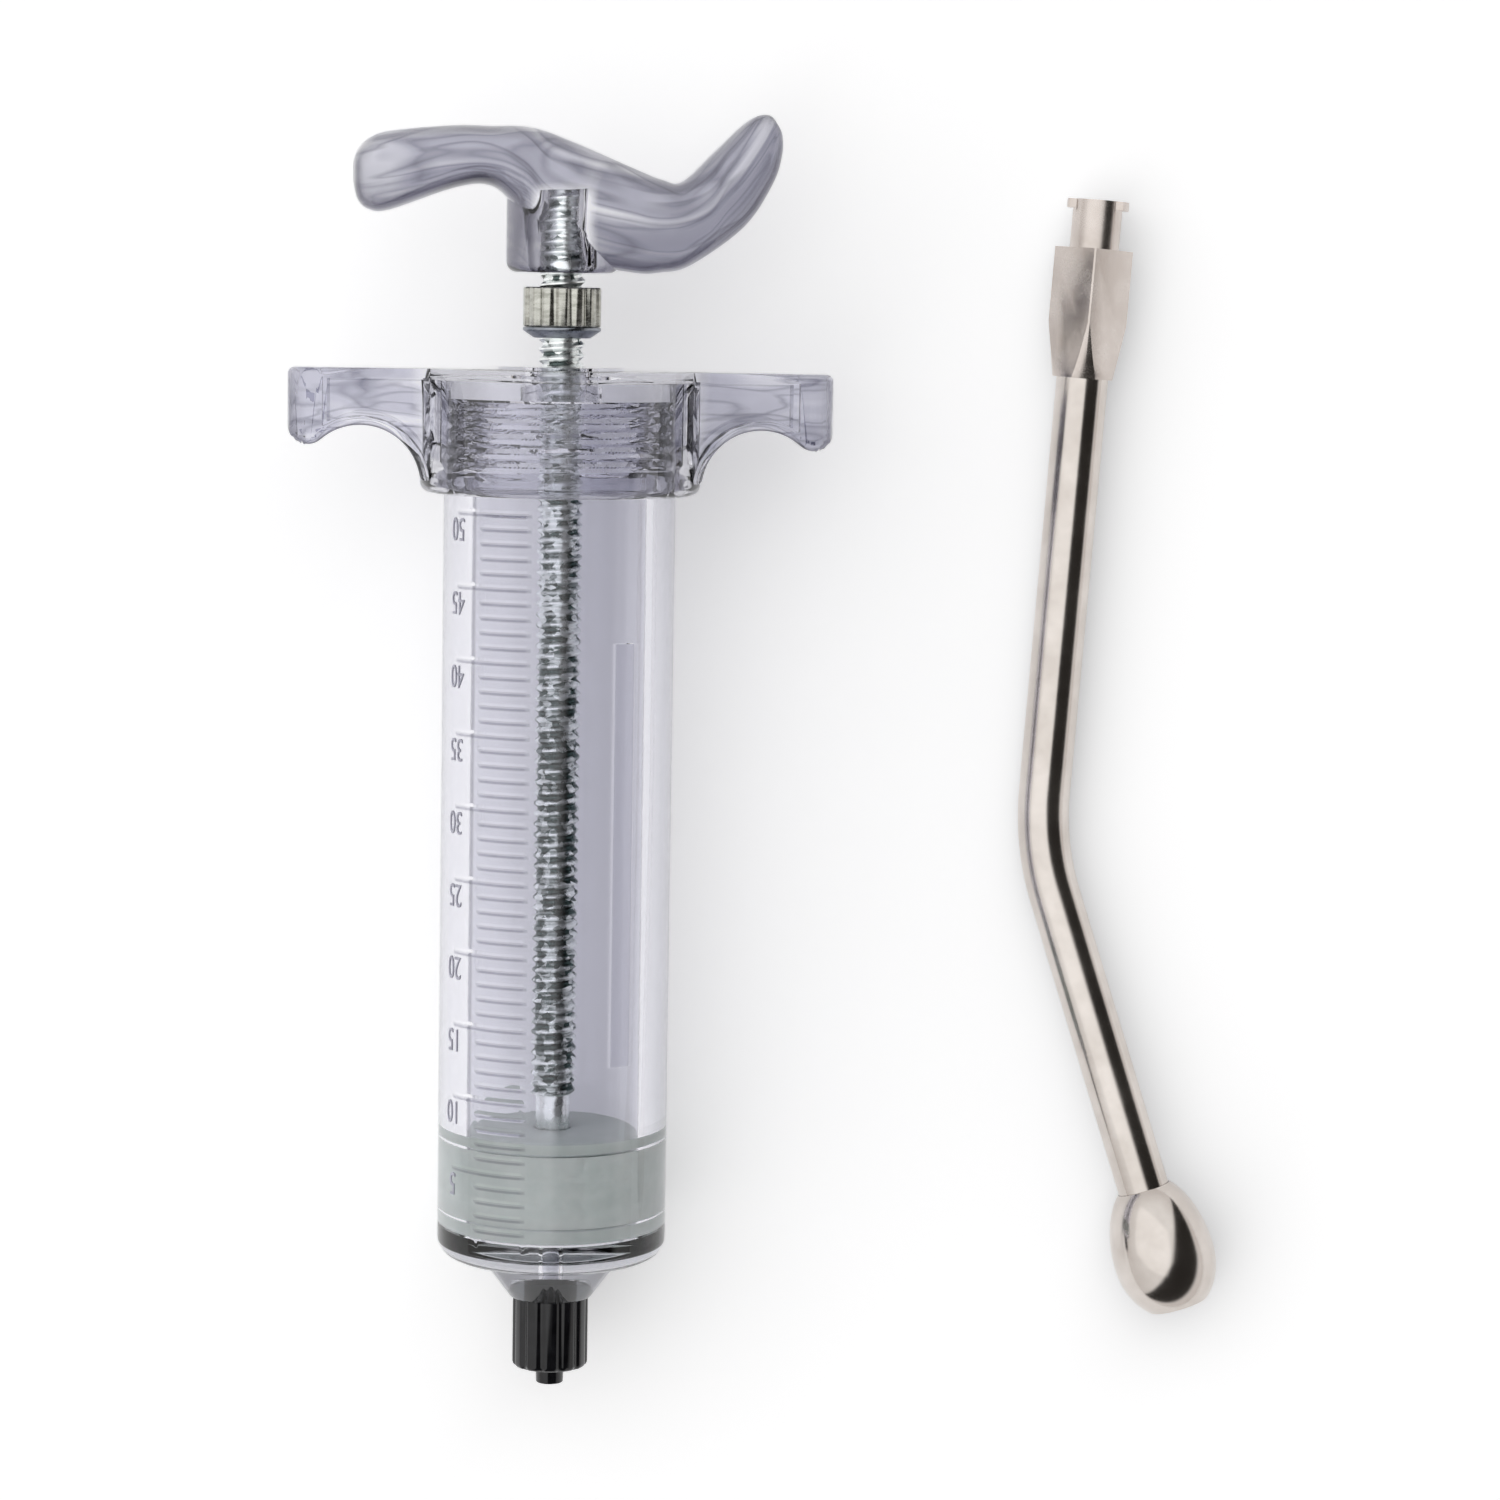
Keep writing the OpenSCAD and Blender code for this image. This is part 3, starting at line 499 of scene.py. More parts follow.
def buildBarrel():
    s, scale, panel = named(barrelSpec), named(scaleSpec), named(panelSpec)
    marks = [scale.zero + i * scale.millilitre for i in range(1, scale.count + 1)]
    offsets = (-scale.halfFoot, -scale.halfTop, scale.halfTop, scale.halfFoot)
    levels = [m + d for m in marks for d in offsets]
    levels += [panel.low, panel.low + panel.slope, panel.high, panel.high - panel.slope]
    rows = int((s.rim - s.skirtBottom) / s.threadRow)
    rowStep = (s.rim - s.skirtBottom) / rows
    profile = [(s.passageR, 0), (s.boreR - s.floorEdge, 0), (s.boreR, s.floorEdge)]
    profile += [(s.boreR, z) for z in range(10, 119, 12)]
    profile += [(s.boreR, s.rim - s.rimEdge), (s.boreR + s.rimEdge, s.rim)]
    profile += [(s.mouthR, s.rim - i * rowStep) for i in range(rows + 1)]
    profile += [(s.wallR, s.skirtBottom)]
    profile += [(s.wallR, z) for z in sorted(levels, reverse=True)]
    profile += arc(s.wallR - s.edgeR, s.floor + s.edgeR, s.edgeR, 0, -90, 8)
    profile += [(s.spigotTopR, s.floor), (s.spigotEndR, s.spigotEnd), (s.stemR, s.spigotEnd),
                (s.stemR, s.stemTop), (s.passageR, s.stemTop)]
    bm = spinProfile(profile, s.columns)
    threadLow = s.rim - s.threadTurns * s.threadPitch
    before, after = s.threadRunOut
    for v in bm.verts:
        z = v.co.z
        if axisDistance(v.co) < s.mouthR - 0.2 or z < 0:
            continue
        turn = math.degrees(math.atan2(v.co.x, -v.co.y))  # from the front of the wings, to the right
        push = 0.0
        if threadLow - before < z < s.rim:
            # right-handed groove round the mouth
            phase = ((z - threadLow) / s.threadPitch - turn / 360) % 1
            groove = min(1, max(0, 1 - abs(phase - 0.5) / s.grooveHalf) * s.grooveFlat)
            push = -s.threadDepth * groove * smoothStep(threadLow - before, threadLow + after, z)
        elif panel.near <= turn <= panel.far:
            if panel.low + 0.05 < z < panel.high - 0.05:
                push = panel.rise
        else:
            index = round((z - scale.zero) / scale.millilitre)
            centre = scale.zero + index * scale.millilitre
            sweep = scale.longSweep if index % 5 == 0 else scale.shortSweep
            onMark = 1 <= index <= scale.count and abs(z - centre) < scale.halfTop + 0.02
            if onMark and scale.nearEnd - sweep <= turn <= scale.nearEnd:
                push = scale.rise
        pushOut(v, push)
    softenEdges(bm, s.spigotSoften, 2, 40, lambda co: co.z < s.floor + 0.1)
    plastic = clearPlastic("clearBarrelPlastic", barrelTone, barrelLook)
    finishPiece("barrelShell", bm, laid, "barrel", "barrel", plastic, 15)


numberSpec = {
    "highest": 50, "every": 5, "count": 10, "height": 3.3, "fontShare": 0.7, "narrow": 0.74, "thinner": -0.03,
    "curveSteps": 4, "middle": -59.8, "top": 101.5, "step": 10.351, "rise": 0.16, "sunk": 0.05,
    "wallR": 16.5}
numberLook = {
    "dark": (0.34, 0.34, 0.41), "light": (0.46, 0.46, 0.54), "broad": 0.6, "fine": 4, "rough": (0.3, 0.5),
    "bump": 0.1}


def buildNumbers():
    # raised numbers beside each fifth mark, read with the nozzle upwards
    s = named(numberSpec)
    whole = bmesh.new()
    for i in range(s.count):
        curve = bpy.data.curves.new("number", "FONT")
        curve.body = str(s.highest - s.every * i)
        curve.align_x = "CENTER"
        curve.align_y = "CENTER"
        curve.size = s.height / s.fontShare
        curve.extrude = 0.5
        curve.resolution_u = s.curveSteps
        curve.offset = s.thinner
        text = addObject("number", curve)
        mesh = evaluatedMesh(text)
        bm = bmesh.new()
        bm.from_mesh(mesh)
        bmesh.ops.remove_doubles(bm, verts=bm.verts, dist=mergeWithin)
        centre = s.top - i * s.step
        for v in bm.verts:
            # wrapped round the barrel, the front face proud of the wall
            radius = s.wallR + (s.rise if v.co.z > 0 else -s.sunk)
            turn = math.radians(s.middle) - v.co.x * s.narrow / s.wallR
            v.co = Vector((radius * math.sin(turn), -radius * math.cos(turn), centre - v.co.y))
        bm.to_mesh(mesh)
        bm.free()
        whole.from_mesh(mesh)
        bpy.data.objects.remove(text)
        bpy.data.curves.remove(curve)
        bpy.data.meshes.remove(mesh)
    bmesh.ops.recalc_face_normals(whole, faces=whole.faces)
    frosted = solidPlastic("frostedNumberPlastic", **numberLook)
    finishPiece("scaleNumbers", whole, laid, "barrel", None, frosted, 40)


# cap with finger wings

gripSpec = {
    "skirtR": 20.0, "bottom": 106.109, "top": 123.609, "plateUnder": 121.809, "boreR": 16.4, "bossR": 5.75,
    "bossEnd": 119.459, "padR": 9.0, "padTop": 124.009, "rodHoleR": 3.5, "edgeR": 1.6, "reach": 38.5,
    "depth": 15.0, "cornerR": 5.0, "wingRoot": 10, "wingRootLow": -14, "planRoot": 5, "archX": 28.1542,
    "archZ": -16.4, "archR": 8.4, "archStart": 176, "bulbDrop": 10.8, "bulbR": 2.9, "pocketDepth": 3.0,
    "pocketRim": 1.3, "endBlock": 5.0, "soften": 0.4, "wingRound": 1.0, "sides": 120}
gripLook = {
    "cap": (0.88, 0.88, 0.92), "tint": (0.58, 0.58, 0.67), "edge": (0.06, 0.058, 0.09),
    "line": (0.14, 0.14, 0.20), "pale": (0.95, 0.95, 0.99), "paleFrom": (0.55, 0.62), "lineWidth": 0.03,
    "lineShare": 0.75, "flow": (0.045, 0.08, 0.22), "wingFrom": (-2, 1), "edgeFrom": (0.08, 0.5),
    "upperEdge": 0.4, "edgeOn": 0.5, "capEdge": 0.3, "shade": (0.92, 0.92, 0.95), "rough": 0.01,
    "bump": 0.1}


def gripTone(tree, vector):
    look = named(gripLook)
    x, y, z = splitVector(tree, vector)
    outward = ramp(tree, calc(tree, "ABSOLUTE", x), *[gripSpec["skirtR"] + d for d in look.wingFrom])
    # the wings carry painted streaks of light and shade
    face = mixColour(tree, outward, look.cap, paintedStreaks(tree, (x, y, z), look))
    # painted shade on the wings' rims, with a share of it on the cap's rims
    gripRimShade = times(tree, rimShadeMask(tree, *look.edgeFrom, look.upperEdge, look.edgeOn),
                    ramp(tree, outward, 0.0, 1.0, look.capEdge, 1.0))
    return mixColour(tree, gripRimShade, face, look.edge)


def wingOutline(inset, endInset):
    # one wing seen from the front, its top at height 0
    s = named(gripSpec)
    bulbX, bulbZ = s.reach - s.bulbR, s.bulbR - s.bulbDrop
    lean = math.degrees(math.atan2(bulbZ - s.archZ, bulbX - s.archX))
    arch = arc(s.archX, s.archZ, s.archR + inset, s.archStart, lean, 26)
    points = [(s.wingRoot, -inset), (s.wingRoot, s.wingRootLow)]
    if endInset:
        end = s.reach - endInset
        low = inset - s.bulbDrop
        arch = [p for p in arch if p[0] < end and p[1] > low or p[0] < s.archX]
        return points + arch + [(end, max(arch[-1][1], low)), (end, -inset)]
    return points + arch + arc(bulbX, bulbZ, s.bulbR, lean - 180, 0, 16)[1:] + [(s.reach, 0)]


def mirrored(points):
    return [(-x, z) for x, z in reversed(points)]


def mergeFlats(bm):
    bmesh.ops.dissolve_limit(bm, angle_limit=math.radians(0.5), verts=bm.verts, edges=bm.edges)


def buildGrip():
    s = named(gripSpec)
    half = s.depth / 2
    corner = s.reach - s.cornerR
    plan = [(s.planRoot, -half), *arc(corner, -half + s.cornerR, s.cornerR, -90, 0, 10),
            *arc(corner, half - s.cornerR, s.cornerR, 0, 90, 10), (s.planRoot, half)]
    wings = []
    for side in (1, -1):
        shapes = [wingOutline(0, 0), wingOutline(s.pocketRim, s.endBlock), plan]
        if side < 0:
            shapes = [mirrored(points) for points in shapes]
        outline, pocket, planSide = shapes
        planSolid = prism(planSide, -20, 1)
        turnMesh(planSolid, 90, "X")
        bmesh.ops.scale(planSolid, vec=(1, -1, 1), verts=planSolid.verts)
        bmesh.ops.recalc_face_normals(planSolid, faces=planSolid.faces)
        wing = combine(prism(outline, -half - 1, half + 1), "INTERSECT", planSolid)
        mergeFlats(wing)
        softenEdges(wing, s.wingRound, 5, 50, lambda co: abs(co.x) > 12, False)
        for face in (-1, 1):
            edge = face * half
            wing = combine(wing, "DIFFERENCE", prism(pocket, edge - face * s.pocketDepth, edge + face * 2))
        wings.append(wing)
    wings = joinMeshes(*wings)
    moveMesh(wings, 0, 0, s.top)
    skirt = [(0, s.bottom), *arc(s.skirtR - s.edgeR, s.bottom + s.edgeR, s.edgeR, -90, 0, 6),
             (s.skirtR, s.top), (s.padR, s.top), (s.padR, s.padTop), (0, s.padTop)]
    cavity = [(0, s.bottom - 2), (s.boreR, s.bottom - 2), (s.boreR, s.plateUnder), (s.bossR, s.plateUnder),
              (s.bossR, s.bossEnd), (s.rodHoleR, s.bossEnd), (s.rodHoleR, s.padTop + 2), (0, s.padTop + 2)]
    cap = combine(spinProfile(skirt, s.sides, False), "UNION", wings)
    cap = combine(cap, "DIFFERENCE", spinProfile(cavity, s.sides, False))
    mergeFlats(cap)
    softenEdges(cap, s.soften, 3, 40)
    plastic = clearPlastic("clearGripPlastic", gripTone, gripLook)
    finishPiece("fingerGripCap", cap, laid, "barrel", "finger_grip", plastic)


# palm handle

handleSpec = {
    "bottom": 137.259, "reach": 30.8, "rise": 22.7, "depth": 16.0, "hubR": 8.0, "hubTop": 11.35,
    "edgeR": 1.5, "rodHoleR": 3.31, "rodGrip": 11.55, "stepsPerRow": 6, "ringSides": 48, "power": 0.74}
# upper rail, lower rail and depth, in hundredths of reach, rise and depth
handleRails = [
    (-96, 67, -96, 53, 22), (-94, 74, -94, 43, 62), (-89, 81, -89, 37, 82), (-79, 86, -79, 37, 92),
    (-50, 90, -50, 51, 98), (-33, 90, -34, 53, 100), (-17, 90, -23, 41, 100), (-1, 84, -8, 12, 100),
    (33, 65, 30, 1, 100), (45, 59, 45, 1, 98), (54, 58, 59, 6, 95), (68, 76, 83, 30, 85),
    (81, 93, 96, 57, 68), (88, 99, 100, 75, 55), (93, 100, 100, 87, 38), (96, 98, 98, 93, 14)]
handleLook = {
    "tint": (0.48, 0.48, 0.56), "edge": (0.04, 0.038, 0.06), "line": (0.08, 0.078, 0.12),
    "pale": (0.98, 0.98, 1.0), "paleFrom": (0.55, 0.62), "lineWidth": 0.045, "lineShare": 0.75,
    "flow": (0.032, 0.08, 0.36), "under": (0.17, 0.17, 0.22), "underFrom": (-5.0, 2.5), "underShare": 0.7,
    "edgeFrom": (0.08, 0.5), "upperEdge": 0.6, "edgeOn": 0.75, "shade": (0.88, 0.88, 0.92), "rough": 0.008,
    "bump": 0.05}


def handleTone(tree, vector):
    # painted streaks of light and shade that follow the handle's curve, and painted shade on the half towards
    # the nozzle
    s, look = named(handleSpec), named(handleLook)
    x, y, z = splitVector(tree, vector)
    middle = addNode(tree, "ShaderNodeFloatCurve")
    points = middle.mapping.curves[0].points
    rows = [((row[0] + row[2]) / 400 + 0.5, (row[1] + row[3]) / 200) for row in handleRails[1:-1]]
    points[0].location, points[1].location = rows[0], rows[-1]
    for place in rows[1:-1]:
        points.new(*place)
    middle.mapping.update()
    setInputs(tree, middle, {"Value": ramp(tree, x, -s.reach, s.reach)})
    centre = calc(tree, "ADD", times(tree, middle.outputs["Value"], s.rise), s.bottom)
    above = calc(tree, "SUBTRACT", z, centre)
    streaked = paintedStreaks(tree, (x, y, above), look)
    # painted shade on the half towards the nozzle
    below = ramp(tree, above, *look.underFrom, look.underShare, 0.0)
    streaked = mixColour(tree, below, streaked, look.under)
    # clear in front of the rod
    rodTop = s.bottom + s.rodGrip
    overRod = times(tree, fade(tree, calc(tree, "ABSOLUTE", x), s.rodHoleR, s.rodHoleR + 1.5),
                    fade(tree, z, rodTop - 1, rodTop + 1))
    streaked = mixColour(tree, overRod, streaked, look.pale)
    # painted shade on the rims that turn away from the front
    return mixColour(tree, rimShadeMask(tree, *look.edgeFrom, look.upperEdge, look.edgeOn), streaked, look.edge)


def railRow(t):
    # a smooth curve through the rows of handleRails
    i = min(int(t), len(handleRails) - 2)
    u = t - i
    a, b, c, d = (handleRails[min(max(i + k, 0), len(handleRails) - 1)] for k in (-1, 0, 1, 2))
    return [(2 * q + (r - p) * u + (2 * p - 5 * q + 4 * r - w) * u ** 2
             + (3 * q - p - 3 * r + w) * u ** 3) / 2 for p, q, r, w in zip(a, b, c, d)]


def buildHandle():
    s = named(handleSpec)
    bm = bmesh.new()
    steps = (len(handleRails) - 1) * s.stepsPerRow
    rings = []
    for i in range(steps + 1):
        upX, upZ, lowX, lowZ, deep = railRow(i / s.stepsPerRow)
        upper = Vector((upX * s.reach, 0, upZ * s.rise)) / 100
        lower = Vector((lowX * s.reach, 0, lowZ * s.rise)) / 100
        made = bmesh.ops.create_circle(bm, cap_ends=False, segments=s.ringSides, radius=1)
        for v in made["verts"]:
            up = math.copysign(abs(v.co.x) ** s.power, v.co.x)
            out = math.copysign(abs(v.co.y) ** s.power, v.co.y)
            sideways = Vector((0, deep * s.depth / 200 * out, 0))
            v.co = (upper + lower) / 2 + (upper - lower) / 2 * up + sideways
        rings.append(list({e for v in made["verts"] for e in v.link_edges}))
    for first, second in zip(rings, rings[1:]):
        bmesh.ops.bridge_loops(bm, edges=first + second)
    for ring in (rings[0], rings[-1]):
        bmesh.ops.contextual_create(bm, geom=ring)
    bmesh.ops.recalc_face_normals(bm, faces=bm.faces)
    hub = spinProfile([(0, 0), *arc(s.hubR - s.edgeR, s.edgeR, s.edgeR, -90, 0, 6), (s.hubR, s.hubTop),
                       (0, s.hubTop)], 96, False)
    hole = spinProfile([(0, -2), (s.rodHoleR, -2), (s.rodHoleR, s.rodGrip), (0, s.rodGrip)], 48, False)
    body = combine(combine(bm, "UNION", hub), "DIFFERENCE", hole)
    moveMesh(body, 0, 0, s.bottom)
    plastic = clearPlastic("clearHandlePlastic", handleTone, handleLook)
    finishPiece("palmHandle", body, laid, "plunger", "handle", plastic, 40)


# screw rod, dose nut and stop washer

rodSpec = {
    "crestR": 3.25, "rootR": 2.7, "pitch": 1.5, "rootEnds": (0.12, 1.28), "crestEnds": (0.58, 0.82),
    "low": 20.0, "high": 148.759, "neckR": 2.45, "neckLow": 6.9, "neckSoften": 0.15, "sides": 28,
    "clipLow": 11.9, "clipTop": 12.7, "clipR": 2.1}
rodLook = {
    "dark": (0.05, 0.08, 0.075), "light": (0.95, 0.98, 0.97), "dirtFrom": (2.72, 3.2), "broad": 0.8,
    "fine": 5, "rough": (0.2, 0.38), "facetScale": 0.85, "facetChance": (0.2, 0.8),
    "facetShift": (-0.75, 0.55), "brightFrom": (70, 122), "brightBy": 0.8, "neckFade": 0.4, "bump": 0.5}


def threadedSteel():
    # bright crests with painted shade in the roots, in small bright and dull facets, and painted light
    # towards the handle
    look = named(rodLook)
    material, tree, shader, vector = startMaterial("brightZincSteel", laid)
    addGrain(tree, shader, vector, look.broad, look.fine, look.rough)
    x, y, z = splitVector(tree, vector)
    facets = addNode(tree, "ShaderNodeTexVoronoi", {"Vector": vector, "Scale": look.facetScale})
    chance = addNode(tree, "ShaderNodeSeparateColor", {"Color": facets.outputs["Color"]})
    # painted shade in the thread roots, with the facets' own bright and dull tones
    lightShare = calc(tree, "ADD", ramp(tree, axisRadius(tree, x, y), *look.dirtFrom),
                 ramp(tree, chance.outputs["Red"], *look.facetChance, *look.facetShift))
    # painted light, brighter towards the handle
    lightShare = calc(tree, "ADD", lightShare, ramp(tree, z, *look.brightFrom, 0.0, look.brightBy))
    lightShare = calc(tree, "MAXIMUM", lightShare, fade(tree, z, rodSpec["low"], rodSpec["low"] + look.neckFade))
    setInputs(tree, shader, {"Metallic": 1.0, "Base Color": mixColour(tree, lightShare, look.dark, look.light)})
    addBump(tree, shader, facets.outputs["Distance"], look.bump, 0.1 * millimetre)
    return material


def buildRod():
    s = named(rodSpec)
    bm = bmesh.new()
    turns = math.ceil((s.high - s.low) / s.pitch) + 1
    flanks = [(s.rootR + 0.02, s.rootEnds[0]), (s.crestR, s.crestEnds[0]), (s.crestR, s.crestEnds[1]),
              (s.rootR + 0.02, s.rootEnds[1])]
    profile = [(s.rootR, 0), *flanks, (s.rootR, s.pitch)]
    verts = [bm.verts.new((r, 0, s.low - s.pitch + z)) for r, z in profile]
    edges = [bm.edges.new(pair) for pair in zip(verts, verts[1:])]
    bmesh.ops.spin(bm, geom=verts + edges, cent=(0, 0, 0), axis=(0, 0, 1), angle=math.tau * turns,
                   steps=s.sides * turns, dvec=(0, 0, s.pitch / s.sides), use_merge=False)
    bmesh.ops.remove_doubles(bm, verts=bm.verts, dist=1e-3)
    for level, inner in ((s.low, True), (s.high, False)):
        bmesh.ops.bisect_plane(bm, geom=bm.verts[:] + bm.edges[:] + bm.faces[:], plane_co=(0, 0, level),
                               plane_no=(0, 0, 1), clear_inner=inner, clear_outer=not inner)
        openEdges = [e for e in bm.edges if e.is_boundary]
        cutEdges = [e for e in openEdges if all(abs(v.co.z - level) < 1e-3 for v in e.verts)]
        bmesh.ops.contextual_create(bm, geom=cutEdges)
    bmesh.ops.recalc_face_normals(bm, faces=bm.faces)
    neckTop = s.low + 0.4
    neck = spinProfile([(0, s.neckLow), (s.neckR, s.neckLow), (s.neckR, s.clipLow), (s.clipR, s.clipLow),
                        (s.clipR, s.clipTop), (s.neckR, s.clipTop), (s.neckR, neckTop), (0, neckTop)],
                       48, False)
    softenEdges(neck, s.neckSoften, 2)
    rod = joinMeshes(bm, neck)
    finishPiece("screwRod", rod, laid, "plunger", "plunger_rod", threadedSteel(), 25)


nutSpec = {
    "low": 129.659, "high": 135.259, "outR": 5.55, "holeR": 3.31, "flutes": 14, "fluteDepth": 0.45,
    "fluteShare": 0.42, "fluteReach": 0.6, "perFlute": 10, "soften": 0.25}
nutLook = {
    "dark": (0.36, 0.36, 0.32), "light": (0.58, 0.58, 0.53), "broad": 0.5, "fine": 6, "rough": (0.15, 0.35),
    "bump": 0.2, "stretch": (1, 1, 3)}
washerSpec = {
    "low": 128.109, "high": 129.609, "endR": 4.0, "outR": 5.55, "holeR": 3.31, "coneShare": 0.7,
    "soften": 0.12}
washerLook = {
    "dark": (0.20, 0.22, 0.25), "light": (0.36, 0.38, 0.42), "broad": 0.5, "fine": 6, "rough": (0.2, 0.4),
    "bump": 0.2}


def buildNut():
    s = named(nutSpec)
    bm = spinProfile([(s.holeR, s.low), (s.outR, s.low), (s.outR, s.high), (s.holeR, s.high)],
                     s.flutes * s.perFlute)
    softenEdges(bm, s.soften, 2)
    cutFlutes(bm, s)
    nickel = metal("turnedNickelNut", laid, **nutLook)
    finishPiece("doseNut", bm, laid, "dose_nut", "dose_nut", nickel, 50)


def buildWasher():
    s = named(washerSpec)
    shoulder = s.low + s.coneShare * (s.high - s.low)
    bm = spinProfile([(s.holeR, s.low), (s.endR, s.low), (s.outR, shoulder), (s.outR, s.high),
                      (s.holeR, s.high)])
    softenEdges(bm, s.soften, 2, 20)
    steel = metal("blueSteelWasher", laid, **washerLook)
    finishPiece("stopWasher", bm, laid, "stop_washer", "stop_washer", steel)


# piston: core, silicone and cap plate, a hair wider than the bore so that no film of air shows round them

pistonSpec = {
    "plateR": 12.42, "low": 0.3, "plateTop": 2.5, "sealLow": 2.55, "sealTop": 12.9, "lipR": 12.42,
    "waistR": 12.41, "lipHeight": 2.6, "lips": 3, "capLow": 13.0, "capTop": 15.0, "coreR": 5.0,
    "sealHoleR": 5.05, "neckHoleR": 2.51, "clipRoomR": 3.9, "clipRoom": 11.8, "coreHole": 6.8,
    "coreSoften": 0.3, "sealSoften": 0.28, "capSoften": 0.35}
plateLook = {
    "dark": (0.62, 0.69, 0.65), "light": (0.70, 0.76, 0.72), "broad": 0.3, "fine": 3, "rough": (0.3, 0.45),
    "bump": 0.1, "subsurface": 0.2}
siliconeLook = {
    "dark": (0.64, 0.71, 0.67), "light": (0.73, 0.79, 0.75), "broad": 0.25, "fine": 2.5,
    "rough": (0.35, 0.55), "bump": 0.15, "subsurface": 0.35}


def buildPiston():
    s = named(pistonSpec)
    plate = solidPlastic("pistonPlatePlastic", **plateLook)
    core = spinProfile([(0, s.low), (s.plateR, s.low), (s.plateR, s.plateTop), (s.coreR, s.plateTop),
                        (s.coreR, s.sealTop), (s.clipRoomR, s.sealTop), (s.clipRoomR, s.clipRoom),
                        (s.neckHoleR, s.clipRoom), (s.neckHoleR, s.coreHole), (0, s.coreHole)], 96, False)
    softenEdges(core, s.coreSoften)
    finishPiece("pistonCore", core, laid, "piston", "piston_core", plate)
    gap = (s.sealTop - s.sealLow - s.lips * s.lipHeight) / (s.lips - 1)
    lips = []
    for i in range(s.lips):
        foot = s.sealLow + i * (s.lipHeight + gap)
        top = foot + s.lipHeight
        lips += [(s.lipR, foot), (s.lipR, top)]
        if i < s.lips - 1:
            lips += [(s.waistR, top), (s.waistR, top + gap)]
    seal = spinProfile([(s.sealHoleR, s.sealLow), *lips, (s.sealHoleR, s.sealTop)], 120)
    softenEdges(seal, s.sealSoften)
    silicone = solidPlastic("milkySilicone", **siliconeLook)
    finishPiece("pistonSilicone", seal, laid, "piston", "piston_seal", silicone)
    cap = spinProfile([(s.neckHoleR, s.capLow), (s.plateR, s.capLow), (s.plateR, s.capTop),
                       (s.neckHoleR, s.capTop)])
    softenEdges(cap, s.capSoften)
    finishPiece("pistonCapPlate", cap, laid, "piston", "piston_cap", plate)


# nozzle and locking collar

nozzleSpec = {
    "end": -22.85, "endR": 1.975, "rootR": 2.323, "flangeLow": -11.25, "flangeTop": -10.05, "flangeR": 4.6,
    "stemR": 3.9, "stemTop": -5.7, "passageR": 1.2, "soften": 0.2}
collarSpec = {
    "end": -20.35, "top": -10.05, "outR": 5.45, "flangeLow": -11.3, "flangeR": 4.65, "webLow": -12.3,
    "webR": 2.42, "mouthR": 4.6, "flutes": 12, "fluteDepth": 0.3, "fluteShare": 0.36, "fluteReach": 0.45,
    "perFlute": 12, "edge": 0.75}
blackLook = {
    "dark": (0.003, 0.003, 0.004), "light": (0.009, 0.009, 0.011), "broad": 0.5, "fine": 6,
    "rough": (0.04, 0.12), "bump": 0.05}


def buildNozzle():
    black = solidPlastic("glossyBlackPlastic", **blackLook)
    s = named(nozzleSpec)
    bm = spinProfile([(s.passageR, s.end), (s.endR, s.end), (s.rootR, s.flangeLow), (s.flangeR, s.flangeLow),
                      (s.flangeR, s.flangeTop), (s.stemR, s.flangeTop), (s.stemR, s.stemTop),
                      (s.passageR, s.stemTop)], 72)
    softenEdges(bm, s.soften)
    finishPiece("luerNozzle", bm, laid, "barrel", "luer_nozzle", black)
    s = named(collarSpec)
    collar = spinProfile([(s.mouthR, s.end), (s.outR, s.end), (s.outR, s.top), (s.flangeR, s.top),
                          (s.flangeR, s.flangeLow), (s.webR, s.flangeLow), (s.webR, s.webLow),
                          (s.mouthR, s.webLow)], s.flutes * s.perFlute)
    softenEdges(collar, s.edge, chosen=lambda co: axisDistance(co) > s.outR - 0.1 and co.z < s.end + 0.1)
    cutFlutes(collar, s, math.pi / s.flutes)
    finishPiece("lockingCollar", collar, laid, "barrel", "luer_collar", black, 40)


# cannula: bent tube, square hub and olive

tubeSpec = {
    "outR": 3.8, "boreR": 2.6, "bendR": 40.0, "upperEnd": 75.4, "lowerEnd": 59.8, "sides": 48,
    "bendSteps": 28}
tubeLook = {
    "dark": (0.58, 0.53, 0.49), "light": (0.68, 0.63, 0.59), "broad": 0.15, "fine": 4, "rough": (0.12, 0.2),
    "bump": 0.05}
hubSpec = {
    "low": 68.4, "square": 8.2, "turn": 10, "squareLength": 18.7, "taper": 8.0, "taperR": 4.4,
    "cornerR": 5.65, "neckR": 3.6, "neckLength": 7.0, "lugR": 4.5, "lugWidth": 4.4, "lugHeight": 1.3,
    "tubeR": 3.85, "socketDepth": 7.05, "passageR": 1.2, "mouthR": 2.15, "luerDepth": 9.0,
    "luerSlope": 0.03, "soften": 0.16}
hubLook = {
    "dark": (0.56, 0.50, 0.46), "light": (0.66, 0.60, 0.56), "broad": 0.2, "fine": 5, "rough": (0.18, 0.32),
    "bump": 0.12}
oliveSpec = {
    "widest": 63.3, "neckLength": 10.5, "endLength": 7.6, "outR": 7.5, "neckR": 4.05, "endR": 4.2,
    "tubeR": 3.85, "socketDepth": 7.05, "outletR": 1.5, "steps": 20, "endSoften": 0.35}
oliveLook = {**tubeLook, "rough": (0.1, 0.18)}


